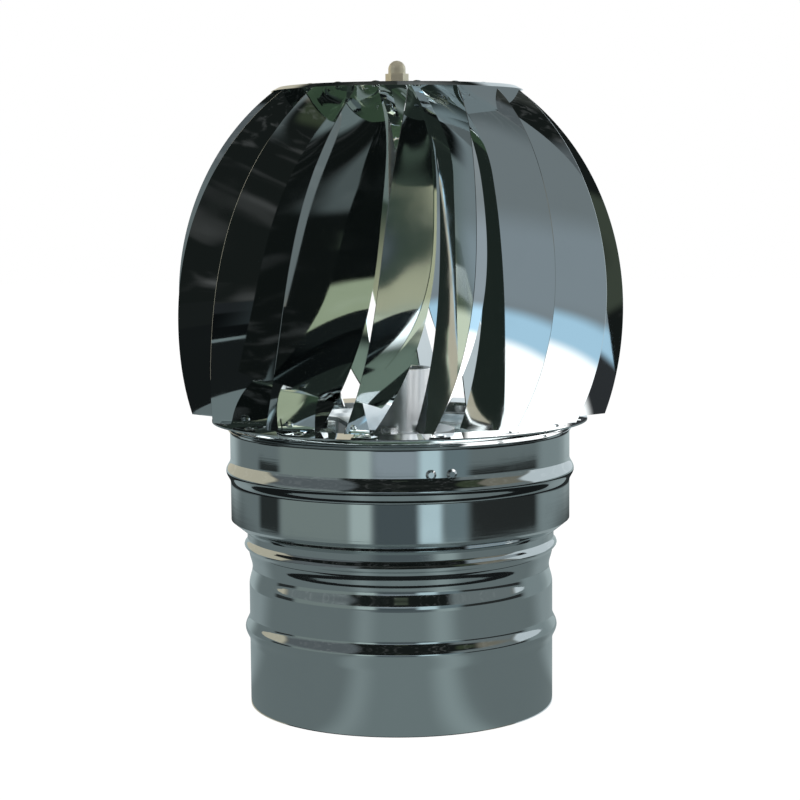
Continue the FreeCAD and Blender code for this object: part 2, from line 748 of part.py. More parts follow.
def tab(level, radius, length, width):
    """Return a tab bent out of the flap, the place of its rivet and the footprint of its root."""
    ridge, flap_edge, _ = vane_corners(level)
    along = (flap_edge - ridge).normalize()
    outward = square_to(along)
    if outward.dot(at(1, ridge_angle(level) + 90, 0)) < 0:
        outward = outward * -1
    start = ridge + along * (ridge_radius(level) - radius) - outward * (size("sheet_wall") / 2)
    half = along * (length / 2)
    root_side = outward * (2 * size("sheet_wall"))
    root = [start - half - root_side, start + half - root_side]
    root += [start + half + root_side, start - half + root_side, start - half - root_side]
    corners = [start - half, start + half]
    corners.append(start + half * size("tab_end_share") + outward * width)
    corners.append(start - half * size("tab_end_share") + outward * width)
    corners.append(start - half)
    plate = Part.Face(Part.makePolygon(corners)).extrude(Vector(0, 0, size("sheet_wall")))
    rivet_place = start + outward * (width * size("tab_rivet_share"))
    return plate, rivet_place, Part.Face(Part.makePolygon(root))


def revolved(points):
    """Return the solid of a closed half outline of (radius, level) points."""
    corners = [Vector(radius, 0, level) for radius, level in points]
    return Part.Face(Part.makePolygon(corners + [corners[0]])).revolve(ORIGIN, Z_AXIS, 360)


crown_under = size("crown_top") - size("sheet_wall")
skirt_radius = size("crown_radius") + size("crown_skirt_reach")
skirt_level = size("crown_top") - size("crown_skirt_drop")
head_limit = 2 * size("dome_radius")
hem_level = size("ring_top") + (head_limit - size("ring_inner")) * size("hem_rise")
skirt_inset = size("sheet_wall") + size("seat_gap")
vane_space = revolved([
    (0, size("ring_top")),
    (size("ring_inner"), size("ring_top")),
    (head_limit, hem_level),
    (head_limit, skirt_level),
    (skirt_radius - skirt_inset, skirt_level),
    (size("crown_radius") - skirt_inset, crown_under),
    (0, crown_under),
])
loft_base = size("ring_top") - LOFT_MARGIN
loft_step = (size("crown_top") + LOFT_MARGIN - loft_base) / (SECTION_COUNT - 1)
vane_levels = [loft_base + loft_step * index for index in range(SECTION_COUNT)]
vane_sheet = Part.makeLoft([vane_section(level) for level in vane_levels], True, False)
foot_tab, foot_rivet_place, foot_root = tab(
    size("ring_top"), size("foot_tab_radius"), size("foot_tab_length"), size("foot_tab_width")
)
crown_tab, crown_rivet_place, _ = tab(
    crown_under - size("sheet_wall"), size("crown_tab_radius"), size("crown_tab_length"),
    size("crown_tab_width"),
)
hem_reach = (size("dome_radius") - size("ring_inner")) * size("hem_rise")
foot_web = vane_sheet.common(foot_root.extrude(Vector(0, 0, hem_reach)))


def vane_drill(place):
    """Return a rivet hole through the sheets that meet at a tab."""
    reach = size("drill_reach")
    foot = place - Vector(0, 0, reach)
    return Part.makeCylinder(size("vane_rivet_radius") + size("rivet_gap"), 2 * reach, foot)


foot_drill_hole = vane_drill(foot_rivet_place)
crown_drill_hole = vane_drill(crown_rivet_place)
vane_shape = vane_sheet.common(vane_space).fuse([foot_web, foot_tab, crown_tab])
vane_shape = vane_shape.cut([foot_drill_hole, crown_drill_hole]).removeSplitter()
vane_pitch = 360.0 / size("vane_count")
vane_total = int(size("vane_count"))
for number in range(vane_total):
    vane = shaped(f"vane_{number + 1:02d}", vane_shape.Solids[0])
    vane.Placement = FreeCAD.Placement(ORIGIN, FreeCAD.Rotation(Z_AXIS, vane_pitch * number))
    keep(vane, f"vane_{number + 1:02d}")


def ring_of(shape):
    """Return the shape repeated once for each vane."""
    return Part.makeCompound([around(shape, vane_pitch * number) for number in range(vane_total)])


def vane_rivet(place, head_level, grip):
    """Return a rivet that stands at a tab, with its head on the given level."""
    rivet = headed_rivet(size("vane_rivet_radius"), size("vane_rivet_head"), grip)
    rivet.translate(Vector(place.x, place.y, head_level))
    return rivet


foot_head_level = size("ring_top") + size("sheet_wall")
ring_rivet = vane_rivet(foot_rivet_place, foot_head_level, size("sheet_wall") + size("ring_wall"))
crown_rivet = vane_rivet(crown_rivet_place, size("crown_top"), 2 * size("sheet_wall"))
keep(shaped("ring_rivets", ring_of(ring_rivet)), "ring_rivets")
keep(shaped("crown_rivets", ring_of(crown_rivet)), "crown_rivets")

# Crown plate: a flat disc with a sloping skirt over the vanes' upper ends
SKIRT_RADIUS = "sizes.crown_radius + sizes.crown_skirt_reach"
SKIRT_LEVEL = "sizes.crown_top - sizes.crown_skirt_drop"
crown_blank = turned("crown_blank", [
    (STUD_HOLE, CROWN_UNDER),
    ("sizes.crown_radius - sizes.sheet_wall", CROWN_UNDER),
    (SKIRT_RADIUS + " - sizes.sheet_wall", SKIRT_LEVEL),
    (SKIRT_RADIUS, SKIRT_LEVEL),
    ("sizes.crown_radius", "sizes.crown_top"),
    (STUD_HOLE, "sizes.crown_top"),
])
crown_holes = shaped("crown_holes", ring_of(crown_drill_hole))
keep(cut("crown_cut", crown_blank, crown_holes), "crown_plate")

# Lower ring: a flat ring that joins the vanes' feet, with a lip turned down inside the collar
RING_UNDER = "sizes.ring_top - sizes.ring_wall"
LIP_END = f"{RING_UNDER} - sizes.ring_lip"
LIP_OUTER = "sizes.ring_inner + sizes.ring_wall"
ring_blank = turned("ring_blank", [
    ("sizes.ring_inner", LIP_END),
    (LIP_OUTER, LIP_END),
    (LIP_OUTER, RING_UNDER),
    ("sizes.ring_outer", RING_UNDER),
    ("sizes.ring_outer", "sizes.ring_top"),
    ("sizes.ring_inner", "sizes.ring_top"),
])
ring_holes = shaped("ring_holes", ring_of(foot_drill_hole))
keep(cut("ring_cut", ring_blank, ring_holes), "bottom_ring")

document.recompute()

# Test every object, then write each sub-part
for item in document.Objects:
    if "Invalid" in item.State or "Error" in item.State:
        raise RuntimeError(f"{item.Label} did not build: {item.State}")
for item in NODES:
    if item.Shape.isNull() or not item.Shape.isValid():
        raise RuntimeError(f"{item.Label} has no valid shape")

os.makedirs("parts", exist_ok=True)
for item in NODES:
    item.Shape.exportStep(os.path.join("parts", item.Label + ".step"))
    box = item.Shape.BoundBox
    print(f"{item.Label}: {len(item.Shape.Solids)} solids, {item.Shape.Volume:.0f} mm3,"
          f" z {box.ZMin:.1f} to {box.ZMax:.1f}")
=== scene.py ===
"""Looks of the rotating chimney cowl: polished vanes, crown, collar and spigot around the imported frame.

Lengths are in metres and angles in degrees unless a comment says otherwise.
Azimuth zero is the front (-Y) and grows towards +X.
"""

import json
import math

import bmesh
import bpy
from mathutils import Matrix, Vector


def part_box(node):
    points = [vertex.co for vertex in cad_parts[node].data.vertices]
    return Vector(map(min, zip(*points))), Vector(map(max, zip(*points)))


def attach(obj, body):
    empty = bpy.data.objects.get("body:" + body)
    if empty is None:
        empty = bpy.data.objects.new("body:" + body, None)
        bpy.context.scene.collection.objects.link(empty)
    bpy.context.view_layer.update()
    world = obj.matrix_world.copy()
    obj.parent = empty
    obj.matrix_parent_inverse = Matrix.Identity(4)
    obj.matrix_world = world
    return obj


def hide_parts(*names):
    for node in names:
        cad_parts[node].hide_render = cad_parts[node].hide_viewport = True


bl_info = {
    "name": "Rotating chimney cowl",
    "version": (1, 0, 0),
    "blender": (4, 5, 0),
    "location": "View3D > Sidebar > Cowl",
    "description": "Builds the polished sheets, rivets and studio of a rotating chimney cowl",
    "category": "Object",
}

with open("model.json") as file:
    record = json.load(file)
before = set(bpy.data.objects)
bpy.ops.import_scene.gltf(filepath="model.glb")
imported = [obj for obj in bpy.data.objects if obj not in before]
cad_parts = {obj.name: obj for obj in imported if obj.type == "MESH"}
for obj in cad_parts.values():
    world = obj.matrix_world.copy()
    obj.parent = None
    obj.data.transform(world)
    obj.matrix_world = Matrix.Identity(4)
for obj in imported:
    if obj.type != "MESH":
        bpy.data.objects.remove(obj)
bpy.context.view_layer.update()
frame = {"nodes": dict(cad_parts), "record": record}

MM = 0.001
CROWN_LOW, CROWN_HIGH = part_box("crown_plate")
RING_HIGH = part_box("bottom_ring")[1]
COLLAR_LOW, COLLAR_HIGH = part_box("collar")
SPIGOT_LOW, SPIGOT_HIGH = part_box("spigot")
VANE_NODES = sorted(name for name in frame["nodes"] if name.startswith("vane_"))
VANE_COUNT = len(VANE_NODES)

# How finely the sheets and the rivets are divided
SMOOTH_ANGLE = 32.0
WEB_STEPS = 12
FLAP_STEPS = 14
LEVEL_STEPS = 72
RIVET_STEPS = 20
DOME_STEPS = 8
SETTLE_ROUNDS = 8
# The fold inside a vane, the bend of the crown's rim, and the least share of a lap that is left
CREASE_STEP = 0.3 * MM
BEND_REACH = 0.4 * MM
BEND_DROP = 0.35 * MM
LEAST_LAP = 0.1
# The shape of a rolled bead
SWELL_REACH = 0.62
SWELL_POWER = 1.15


# Settings
def length(name, description, default_mm):
    """Return a length setting whose default is given in millimetres."""
    return bpy.props.FloatProperty(
        name=name, description=description, default=default_mm * MM, unit="LENGTH", precision=5
    )


def number(name, description, default):
    """Return a plain number setting."""
    return bpy.props.FloatProperty(name=name, description=description, default=default, precision=4)


def colour(name, description, default):
    """Return a colour setting."""
    return bpy.props.FloatVectorProperty(
        name=name, description=description, default=default, size=3, subtype="COLOR", min=0.0, max=1.0
    )


class CowlHeadSizes(bpy.types.PropertyGroup):
    """Sizes of the turning head."""

    sheet: length("Sheet", "Thickness of every sheet", 0.8)
    dome_radius: length("Dome radius", "Greatest radius of the vanes' ridges", 146.6)
    dome_level: length("Dome level", "Height of the greatest radius", 260.0)
    dome_rise: length("Dome rise", "Half axis of the outline above that height", 168.0)
    dome_fall: length("Dome fall", "Half axis of the outline below that height", 183.0)
    lean_middle: number("Lean, middle", "Ridge angle halfway up", -4.0)
    lean_linear: number("Lean, linear", "Linear part of the ridge's lean", 4.9)
    lean_square: number("Lean, square", "Square part of the ridge's lean", -0.9)
    lean_cubic: number("Lean, cubic", "Cubic part of the ridge's lean", 5.3)
    lap_angle: number("Lap", "Greatest angle from the ridge to the flap's edge", 18.6)
    lap_level: length("Lap level", "Height of the greatest lap", 315.0)
    lap_rise: length("Lap rise", "Reach of the lap above that height", 92.0)
    lap_fall: length("Lap fall", "Reach of the lap below that height", 145.0)
    lap_rise_power: number("Lap rise power", "How late the lap shrinks upwards", 4.0)
    lap_fall_power: number("Lap fall power", "How late the lap shrinks downwards", 2.2)
    flap_share: number("Flap share", "Radius of the flap's edge over the ridge's", 0.635)
    flap_gain: number("Flap gain", "Growth of that share towards the ends", 0.04)
    web_share: number("Web share", "Radius of the web's inner edge over the ridge's", 0.56)
    web_swing: number("Web swing", "Greatest angle from the web's inner edge to the ridge", 21.0)
    web_swing_level: length("Web swing level", "Height where the web starts to swing", 343.0)
    web_swing_power: number("Web swing power", "How late the web swings", 2.3)
    fold: length("Fold", "Length of the rounded fold on each leg", 0.7)
    hem_rise: number("Hem rise", "Rise of the vanes' lower edge for each unit of radius", 0.12)
    crown_radius: length("Crown radius", "Radius of the crown's flat disc", 77.0)
    crown_hole: length("Crown hole", "Radius of the hole for the spindle", 4.05)
    ring_inner: length("Ring inner", "Inner radius of the lower ring", 95.0)
    ring_sheet: length("Ring sheet", "Thickness of the lower ring", 1.0)
    foot_tab_radius: length("Foot tab radius", "Radius of the middle of the foot tab's bend", 113.0)
    foot_tab_length: length("Foot tab length", "Length of the foot tab's bend", 14.0)
    foot_tab_width: length("Foot tab width", "How far the foot tab reaches", 13.0)
    crown_tab_radius: length("Crown tab radius", "Radius of the middle of the crown tab's bend", 64.0)
    crown_tab_length: length("Crown tab length", "Length of the crown tab's bend", 12.0)
    crown_tab_width: length("Crown tab width", "How far the crown tab reaches", 8.5)
    tab_end_share: number("Tab end", "Length of a tab's end over its bend's", 0.6)
    tab_rivet_share: number("Tab rivet", "Place of the rivet over the tab's width", 0.55)
    rivet_head: length("Rivet head", "Radius of the vanes' rivet heads", 3.0)
    rivet_shank: length("Rivet shank", "Radius of the vanes' rivets", 1.6)
    rivet_cap: length("Rivet cap", "Height of a rivet head", 1.2)
    rivet_tail: length("Rivet tail", "Height of a rivet's upset tail", 1.0)


class CowlBaseSizes(bpy.types.PropertyGroup):
    """Sizes of the spigot and the collar."""

    spigot_radius: length("Spigot radius", "Outer radius of the pipe end", 100.2)
    bead_reach: length("Bead reach", "How far a bead stands out", 2.9)
    low_bead: length("Lower bead", "Height of the lower bead", 51.0)
    low_bead_height: length("Lower bead height", "Height of the lower bead's arc", 15.0)
    waist: length("Waist", "Height of the waist's middle", 91.0)
    waist_height: length("Waist height", "Height of the waist", 20.0)
    waist_depth: length("Waist depth", "How far the waist draws in", 2.2)
    stop_bead: length("Stop bead", "Height of the stop bead", 106.0)
    stop_bead_height: length("Stop bead height", "Height of the stop bead's arc", 8.0)
    collar_radius: length("Collar radius", "Outer radius of the collar", 111.4)
    neck_gap: length("Neck gap", "Clearance of the collar's neck on the spigot", 0.05)
    flare_base: length("Flare base", "Height where the flare starts", 114.5)
    flare_top: length("Flare top", "Height where the flare ends", 122.8)
    collar_bead: length("Collar bead", "Height of the collar's bead", 155.0)
    collar_bead_height: length("Collar bead height", "Height of the collar bead's arc", 13.0)
    rim_base: length("Rim base", "Height where the rolled rim starts", 180.2)
    rim_height: length("Rim height", "Height of the rolled rim", 3.5)
    rim_reach: length("Rim reach", "How far the rolled rim stands out", 1.3)


class CowlLooks(bpy.types.PropertyGroup):
    """Colours and finishes."""

    polished: colour("Polished steel", "Colour of the polished sheet", (0.60, 0.635, 0.64))
    satin: colour("Satin steel", "Colour of the plain steel parts", (0.46, 0.48, 0.49))
    rivet: colour("Rivet steel", "Colour of the rivets", (0.58, 0.60, 0.61))
    zinc: colour("Zinc", "Colour of the plated fasteners", (0.60, 0.62, 0.63))
    brass: colour("Brass", "Colour of the cap nut", (0.78, 0.72, 0.55))
    segments: bpy.props.IntProperty(
        name="Segments", description="Steps around a turned sheet", default=192, min=24
    )


class CowlStudio(bpy.types.PropertyGroup):
    """Camera, floor and light."""

    camera_distance: length("Camera distance", "Distance from the spindle to the camera", 1300.0)
    camera_height: length("Camera height", "Height of the camera", 337.0)
    camera_pitch: number("Camera pitch", "Degrees that the camera looks down", 6.05)
    camera_roll: number("Camera roll", "Degrees that the picture is turned", 0.45)
    camera_lens: number("Lens", "Focal length in millimetres", 89.46)
    sky: colour("Backdrop", "Colour of the backdrop", (1.0, 1.0, 1.0))


# Mesh helpers
def new_object(name, vertices, faces, smooth_angle=SMOOTH_ANGLE):
    """Link a mesh object at the origin, smooth but for its sharp edges."""
    mesh = bpy.data.meshes.new(name)
    mesh.from_pydata([tuple(vertex) for vertex in vertices], [], faces)
    mesh.update()
    mesh.validate()
    mesh.polygons.foreach_set("use_smooth", [True] * len(mesh.polygons))
    mesh.set_sharp_from_angle(angle=math.radians(smooth_angle))
    made = bpy.data.objects.new(name, mesh)
    bpy.context.scene.collection.objects.link(made)
    return made


def revolve(name, outline, segments, smooth_angle=SMOOTH_ANGLE):
    """Turn a closed outline of (radius, height) about Z."""
    vertices = []
    for step in range(segments):
        turn = 2 * math.pi * step / segments
        for radius, height in outline:
            vertices.append((radius * math.sin(turn), -radius * math.cos(turn), height))
    count = len(outline)
    faces = []
    for step in range(segments):
        here = step * count
        there = ((step + 1) % segments) * count
        for index in range(count):
            following = (index + 1) % count
            faces.append((here + index, there + index, there + following, here + following))
    return new_object(name, vertices, faces, smooth_angle)


def face_outwards(made):
    """Merge doubled corners, such as those at a pole, and point every face outwards."""
    work = bmesh.new()
    work.from_mesh(made.data)
    bmesh.ops.remove_doubles(work, verts=work.verts, dist=0.001 * MM)
    loose = [edge for edge in work.edges if not edge.link_faces]
    bmesh.ops.delete(work, geom=loose, context="EDGES")
    bmesh.ops.recalc_face_normals(work, faces=work.faces)
    work.to_mesh(made.data)
    work.free()
    return made


def finish_piece(made, body, nodes, material):
    """Dress a piece, hang it on its body and let it stand for its nodes."""
    if material is not None:
        made.data.materials.clear()
        made.data.materials.append(material)
    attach(made, body)
    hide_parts(*nodes)


# Vane outline, in the head's own angles
def at(radius, angle, level):
    """Return a point from its radius, its azimuth and its height."""
    turn = math.radians(angle)
    return Vector((radius * math.sin(turn), -radius * math.cos(turn), level))


def span(level):
    """Return how far a height is from the middle of the vanes, from -1 to 1."""
    middle = (CROWN_HIGH.z + RING_HIGH.z) / 2
    return (level - middle) / (CROWN_HIGH.z - middle)


def vane_corners(sizes, level):
    """Return the ridge, the flap's free edge and the web's inner edge at a height."""
    offset = level - sizes.dome_level
    reach = sizes.dome_rise if offset > 0 else sizes.dome_fall
    radius = sizes.dome_radius * math.sqrt(1 - (offset / reach) ** 2)
    along = span(level)
    angle = sizes.lean_middle + sizes.lean_linear * along
    angle += sizes.lean_square * along ** 2 + sizes.lean_cubic * along ** 3
    offset = level - sizes.lap_level
    if offset > 0:
        share = (offset / sizes.lap_rise) ** sizes.lap_rise_power
    else:
        share = (-offset / sizes.lap_fall) ** sizes.lap_fall_power
    lap = sizes.lap_angle * max(1 - share, LEAST_LAP)
    flap_radius = radius * (sizes.flap_share + sizes.flap_gain * along ** 4)
    ridge = at(radius, angle, level)
    flap_edge = at(flap_radius, angle + lap, level)
    climb = max((level - sizes.web_swing_level) / (CROWN_HIGH.z - sizes.web_swing_level), 0.0)
    swing = sizes.web_swing * climb ** sizes.web_swing_power
    web_edge = at(radius * sizes.web_share, angle - swing, level)
    return ridge, flap_edge, web_edge


def square_to(direction, towards):
    """Return the horizontal unit vector square to one direction, on the side of another."""
    square = Vector((direction.y, -direction.x, 0))
    return square if square.dot(towards) > 0 else -square


def vane_profile(sizes, level):
    """Return the outer and the inner points of the folded sheet at a height."""
    ridge, flap_edge, web_edge = vane_corners(sizes, level)
    to_flap = (flap_edge - ridge).normalized()
    to_web = (web_edge - ridge).normalized()
    flap_side = square_to(to_flap, to_web) * sizes.sheet
    web_side = square_to(to_web, to_flap) * sizes.sheet
    crease = ridge + (to_flap + to_web) * (sizes.sheet / math.sin(to_flap.angle(to_web)))
    fold_web = ridge + to_web * sizes.fold
    fold_flap = ridge + to_flap * sizes.fold
    fold_top = (fold_web + fold_flap) * 0.5
    crease_web = crease + to_web * CREASE_STEP
    crease_flap = crease + to_flap * CREASE_STEP
    to_fold = [1 - (1 - step / WEB_STEPS) ** 2 for step in range(WEB_STEPS + 1)]
    to_edge = [(step / FLAP_STEPS) ** 2 for step in range(FLAP_STEPS + 1)]
    outer = [web_edge.lerp(fold_web, share) for share in to_fold]
    outer += [fold_top]
    outer += [fold_flap.lerp(flap_edge, share) for share in to_edge]
    inner_web = web_edge + web_side
    inner_flap = flap_edge + flap_side
    inner = [inner_web.lerp(crease_web, share) for share in to_fold]
    inner += [crease]
    inner += [crease_flap.lerp(inner_flap, share) for share in to_edge]
    return outer, inner


def lowest_level(sizes, radius):
    """Return the height of the vanes' hem at a radius."""
    return RING_HIGH.z + max(radius - sizes.ring_inner, 0.0) * sizes.hem_rise


def highest_level(sizes, radius):
    """Return the height of the vanes' upper edge at a radius, under the crown and its skirt."""
    skirt_radius = CROWN_HIGH.x - sizes.sheet
    disc_radius = sizes.crown_radius - sizes.sheet
    share = min(max((radius - disc_radius) / (skirt_radius - disc_radius), 0.0), 1.0)
    return CROWN_HIGH.z - sizes.sheet - share * (CROWN_HIGH.z - sizes.sheet - CROWN_LOW.z)


def settle(sizes, place, limit, start):
    """Return the height at which a column of the vane meets its upper or lower limit."""
    level = start
    for _ in range(SETTLE_ROUNDS):
        point = place(level)
        level = 0.5 * level + 0.5 * limit(sizes, math.hypot(point.x, point.y))
    return level


def one_vane(sizes):
    """Return the vertices and faces of the front vane with its two tabs."""
    columns = WEB_STEPS + FLAP_STEPS + 3
    rows = LEVEL_STEPS + 1
    vertices = []
    for side in (0, 1):
        for column in range(columns):
            def place(level, side=side, column=column):
                return vane_profile(sizes, level)[side][column]
            low = settle(sizes, place, lowest_level, RING_HIGH.z)
            high = settle(sizes, place, highest_level, CROWN_LOW.z)
            for row in range(rows):
                vertices.append(place(low + (high - low) * row / LEVEL_STEPS))

    def index(side, column, row):
        return (side * columns + column) * rows + row

    faces = []
    for column in range(columns - 1):
        for row in range(rows - 1):
            faces.append((index(0, column, row), index(0, column + 1, row),
                          index(0, column + 1, row + 1), index(0, column, row + 1)))
            faces.append((index(1, column, row), index(1, column, row + 1),
                          index(1, column + 1, row + 1), index(1, column + 1, row)))
        for row in (0, LEVEL_STEPS):
            faces.append((index(0, column, row), index(1, column, row),
                          index(1, column + 1, row), index(0, column + 1, row)))
    for column in (0, columns - 1):
        for row in range(rows - 1):
            faces.append((index(0, column, row), index(0, column, row + 1),
                          index(1, column, row + 1), index(1, column, row)))
    for corners, _ in (foot_tab(sizes), crown_tab(sizes)):
        add_plate(vertices, faces, corners, sizes.sheet)
    return vertices, faces


def vane_tab(sizes, level, radius, long, wide):
    """Return the corners of a tab bent out of the flap and the place of its rivet."""
    ridge, flap_edge, _ = vane_corners(sizes, level)
    reach = math.hypot(ridge.x, ridge.y)
    angle = math.degrees(math.atan2(ridge.x, -ridge.y))
    along = (flap_edge - ridge).normalized()
    outward = square_to(along, at(1, angle + 90, 0))
    start = ridge + along * (reach - radius) - outward * (sizes.sheet / 2)
    half = along * (long / 2)
    far = outward * wide
    end = sizes.tab_end_share
    corners = [start - half, start + half, start + half * end + far, start - half * end + far]
    return corners, start + outward * (wide * sizes.tab_rivet_share)


def foot_tab(sizes):
    """Return the foot tab's corners and rivet place, on the lower ring."""
    place = RING_HIGH.z, sizes.foot_tab_radius
    return vane_tab(sizes, *place, sizes.foot_tab_length, sizes.foot_tab_width)


def crown_tab(sizes):
    """Return the crown tab's corners and rivet place, under the crown plate."""
    place = CROWN_HIGH.z - 2 * sizes.sheet, sizes.crown_tab_radius
    return vane_tab(sizes, *place, sizes.crown_tab_length, sizes.crown_tab_width)


def add_plate(vertices, faces, corners, thickness):
    """Add a flat plate over four corners to a mesh."""
    first = len(vertices)
    vertices += corners + [corner + Vector((0, 0, thickness)) for corner in corners]
    for face in ((0, 3, 2, 1), (4, 5, 6, 7), (0, 1, 5, 4), (1, 2, 6, 5), (2, 3, 7, 6), (3, 0, 4, 7)):
        faces.append(tuple(first + corner for corner in face))


def domed_rivet(name, sizes, grip):
    """Return a rivet along Z: domed head above zero, shank and upset tail below."""
    head = sizes.rivet_head
    tail = sizes.rivet_tail
    shank = sizes.rivet_shank
    upset = head * 0.8
    outline = [(0.0, -grip - tail), (head * 0.7, -grip - tail), (upset, -grip - tail * 0.7)]
    outline += [(upset, -grip), (shank, -grip), (shank, 0.0), (head, 0.0)]
    for step in range(1, DOME_STEPS):
        turn = math.radians(90 * step / DOME_STEPS)
        outline.append((head * math.cos(turn), sizes.rivet_cap * math.sin(turn)))
    outline.append((0.0, sizes.rivet_cap))
    return face_outwards(revolve(name, outline, RIVET_STEPS, smooth_angle=40.0))


# Node helpers
def feed(tree, socket, value):
    """Link a socket to another one, or set it to a plain value."""
    if isinstance(value, bpy.types.NodeSocket):
        tree.links.new(value, socket)
    elif socket.type == "RGBA":
        socket.default_value = (*value, 1.0)
    else:
        socket.default_value = value


def node(tree, kind, inputs=None, **settings):
    """Add a node, set its properties and feed its inputs."""
    made = tree.nodes.new(kind)
    for key, value in settings.items():
        setattr(made, key, value)
    for key, value in (inputs or {}).items():
        feed(tree, made.inputs[key], value)
    return made


def new_tree(name, kind, inputs, outputs):
    """Return a node group with named sockets, its input node and its output node."""
    tree = bpy.data.node_groups.new(name, kind)
    for direction, sockets in (("INPUT", inputs), ("OUTPUT", outputs)):
        for label, holds in sockets.items():
            tree.interface.new_socket(label, in_out=direction, socket_type="NodeSocket" + holds)
    return tree, node(tree, "NodeGroupInput"), node(tree, "NodeGroupOutput")


def arithmetic(tree, operation, *values):
    """Return the result of one sum on numbers and sockets."""
    return node(tree, "ShaderNodeMath", dict(enumerate(values)), operation=operation).outputs[0]


# Geometry Nodes: a piece repeated around the spindle
def ring_tree(name, material):
    """Build the node tree that repeats an object around Z and joins the copies."""
    inputs = {"Geometry": "Geometry", "Copies": "Int", "Source": "Object"}
    tree, given, result = new_tree(name, "GeometryNodeTree", inputs, {"Geometry": "Geometry"})
    copies = given.outputs["Copies"]
    points = node(tree, "GeometryNodeMeshLine", {"Count": copies, "Offset": (0, 0, 0)}, mode="OFFSET")
    source = node(tree, "GeometryNodeObjectInfo", {"Object": given.outputs["Source"]})
    share = arithmetic(tree, "DIVIDE", node(tree, "GeometryNodeInputIndex").outputs[0], copies)
    turn = arithmetic(tree, "MULTIPLY", share, 2 * math.pi)
    around = node(tree, "ShaderNodeCombineXYZ", {"Z": turn})
    rotation = node(tree, "FunctionNodeEulerToRotation", {0: around.outputs[0]})
    place = node(tree, "GeometryNodeInstanceOnPoints", {
        "Points": points.outputs["Mesh"],
        "Instance": source.outputs["Geometry"],
        "Rotation": rotation.outputs[0],
    })
    realize = node(tree, "GeometryNodeRealizeInstances", {"Geometry": place.outputs["Instances"]})
    paint = node(tree, "GeometryNodeSetMaterial", {
        "Geometry": realize.outputs["Geometry"],
        "Material": material,
    })
    feed(tree, result.inputs["Geometry"], paint.outputs["Geometry"])
    return tree


def repeat_around(name, source, copies, material):
    """Return one mesh object with the source repeated around the spindle."""
    carrier = new_object(name, [(0, 0, 0)], [])
    modifier = carrier.modifiers.new("Ring", "NODES")
    modifier.node_group = ring_tree(name + " ring", material)
    inputs = {item.name: item.identifier for item in modifier.node_group.interface.items_tree
              if item.in_out == "INPUT"}
    modifier[inputs["Copies"]] = copies
    modifier[inputs["Source"]] = source
    bpy.context.view_layer.update()
    evaluated = carrier.evaluated_get(bpy.context.evaluated_depsgraph_get())
    result = bpy.data.meshes.new_from_object(evaluated)
    carrier.modifiers.clear()
    carrier.data = result
    result.name = name
    bpy.data.objects.remove(source)
    return carrier


# Shader helpers and groups
def object_place(tree):
    """Return the Object coordinates of the shaded spot."""
    return node(tree, "ShaderNodeTexCoord").outputs["Object"]


def noise(tree, place, scale, detail, distortion=0.0):
    """Return the value of a noise texture."""
    inputs = {"Vector": place, "Scale": scale, "Detail": detail, "Distortion": distortion}
    return node(tree, "ShaderNodeTexNoise", inputs).outputs["Fac"]


def ramp(tree, value, low, high, bottom=0.0, top=1.0, blend="LINEAR"):
    """Return a value that runs from bottom to top while the given one runs from low to high."""
    inputs = {"Value": value, "From Min": low, "From Max": high, "To Min": bottom, "To Max": top}
    return node(tree, "ShaderNodeMapRange", inputs, interpolation_type=blend).outputs["Result"]


def mixed(tree, factor, first, second):
    """Return a blend of two colours."""
    inputs = {"Factor": factor, "A": first, "B": second}
    return node(tree, "ShaderNodeMix", inputs, data_type="RGBA").outputs["Result"]


def between(tree, value, limits, soft):
    """Return a mask that is one between two limits and fades out over their soft edges."""
    low, high = limits
    rise = ramp(tree, value, low - soft, low + soft, blend="SMOOTHSTEP")
    fall = ramp(tree, value, high - soft, high + soft, 1.0, 0.0, blend="SMOOTHSTEP")
    return arithmetic(tree, "MULTIPLY", rise, fall)


def directions(tree, eye_level):
    """Return the azimuth and the elevation of the shaded spot, seen from the spindle."""
    east, north, level = node(tree, "ShaderNodeSeparateXYZ", {"Vector": object_place(tree)}).outputs
    south = arithmetic(tree, "MULTIPLY", north, -1.0)
    across = arithmetic(tree, "POWER", east, 2.0)
    away = arithmetic(tree, "POWER", north, 2.0)
    reach = arithmetic(tree, "SQRT", arithmetic(tree, "ADD", across, away))
    height = arithmetic(tree, "SUBTRACT", level, eye_level)
    azimuth = arithmetic(tree, "ARCTAN2", east, south)
    elevation = arithmetic(tree, "ARCTAN2", height, reach)
    return [arithmetic(tree, "MULTIPLY", angle, 180.0 / math.pi) for angle in (azimuth, elevation)]


def places(tree):
    """Return the X and the Z of the shaded spot, in millimetres."""
    split = node(tree, "ShaderNodeSeparateXYZ", {"Vector": object_place(tree)})
    return [arithmetic(tree, "MULTIPLY", split.outputs[axis], 1000.0) for axis in ("X", "Z")]


def painted(tree, first, second, base, patches, shown=None):
    """Lay patches over a base tone; each has two ranges, a soft edge and a tone."""
    tone = base
    for first_limits, second_limits, soft, patch_tone in patches:
        mask = between(tree, first, first_limits, soft)
        mask = arithmetic(tree, "MULTIPLY", mask, between(tree, second, second_limits, soft))
        if shown is not None:
            mask = arithmetic(tree, "MULTIPLY", mask, shown)
        tone = mixed(tree, mask, tone, patch_tone)
    return tone


def white_rays(tree):
    """Return one for the rays that see white surroundings: camera, glossy and transmission rays."""
    path = node(tree, "ShaderNodeLightPath")
    shown = arithmetic(tree, "MAXIMUM", path.outputs["Is Camera Ray"], path.outputs["Is Glossy Ray"])
    return arithmetic(tree, "MAXIMUM", shown, path.outputs["Is Transmission Ray"])


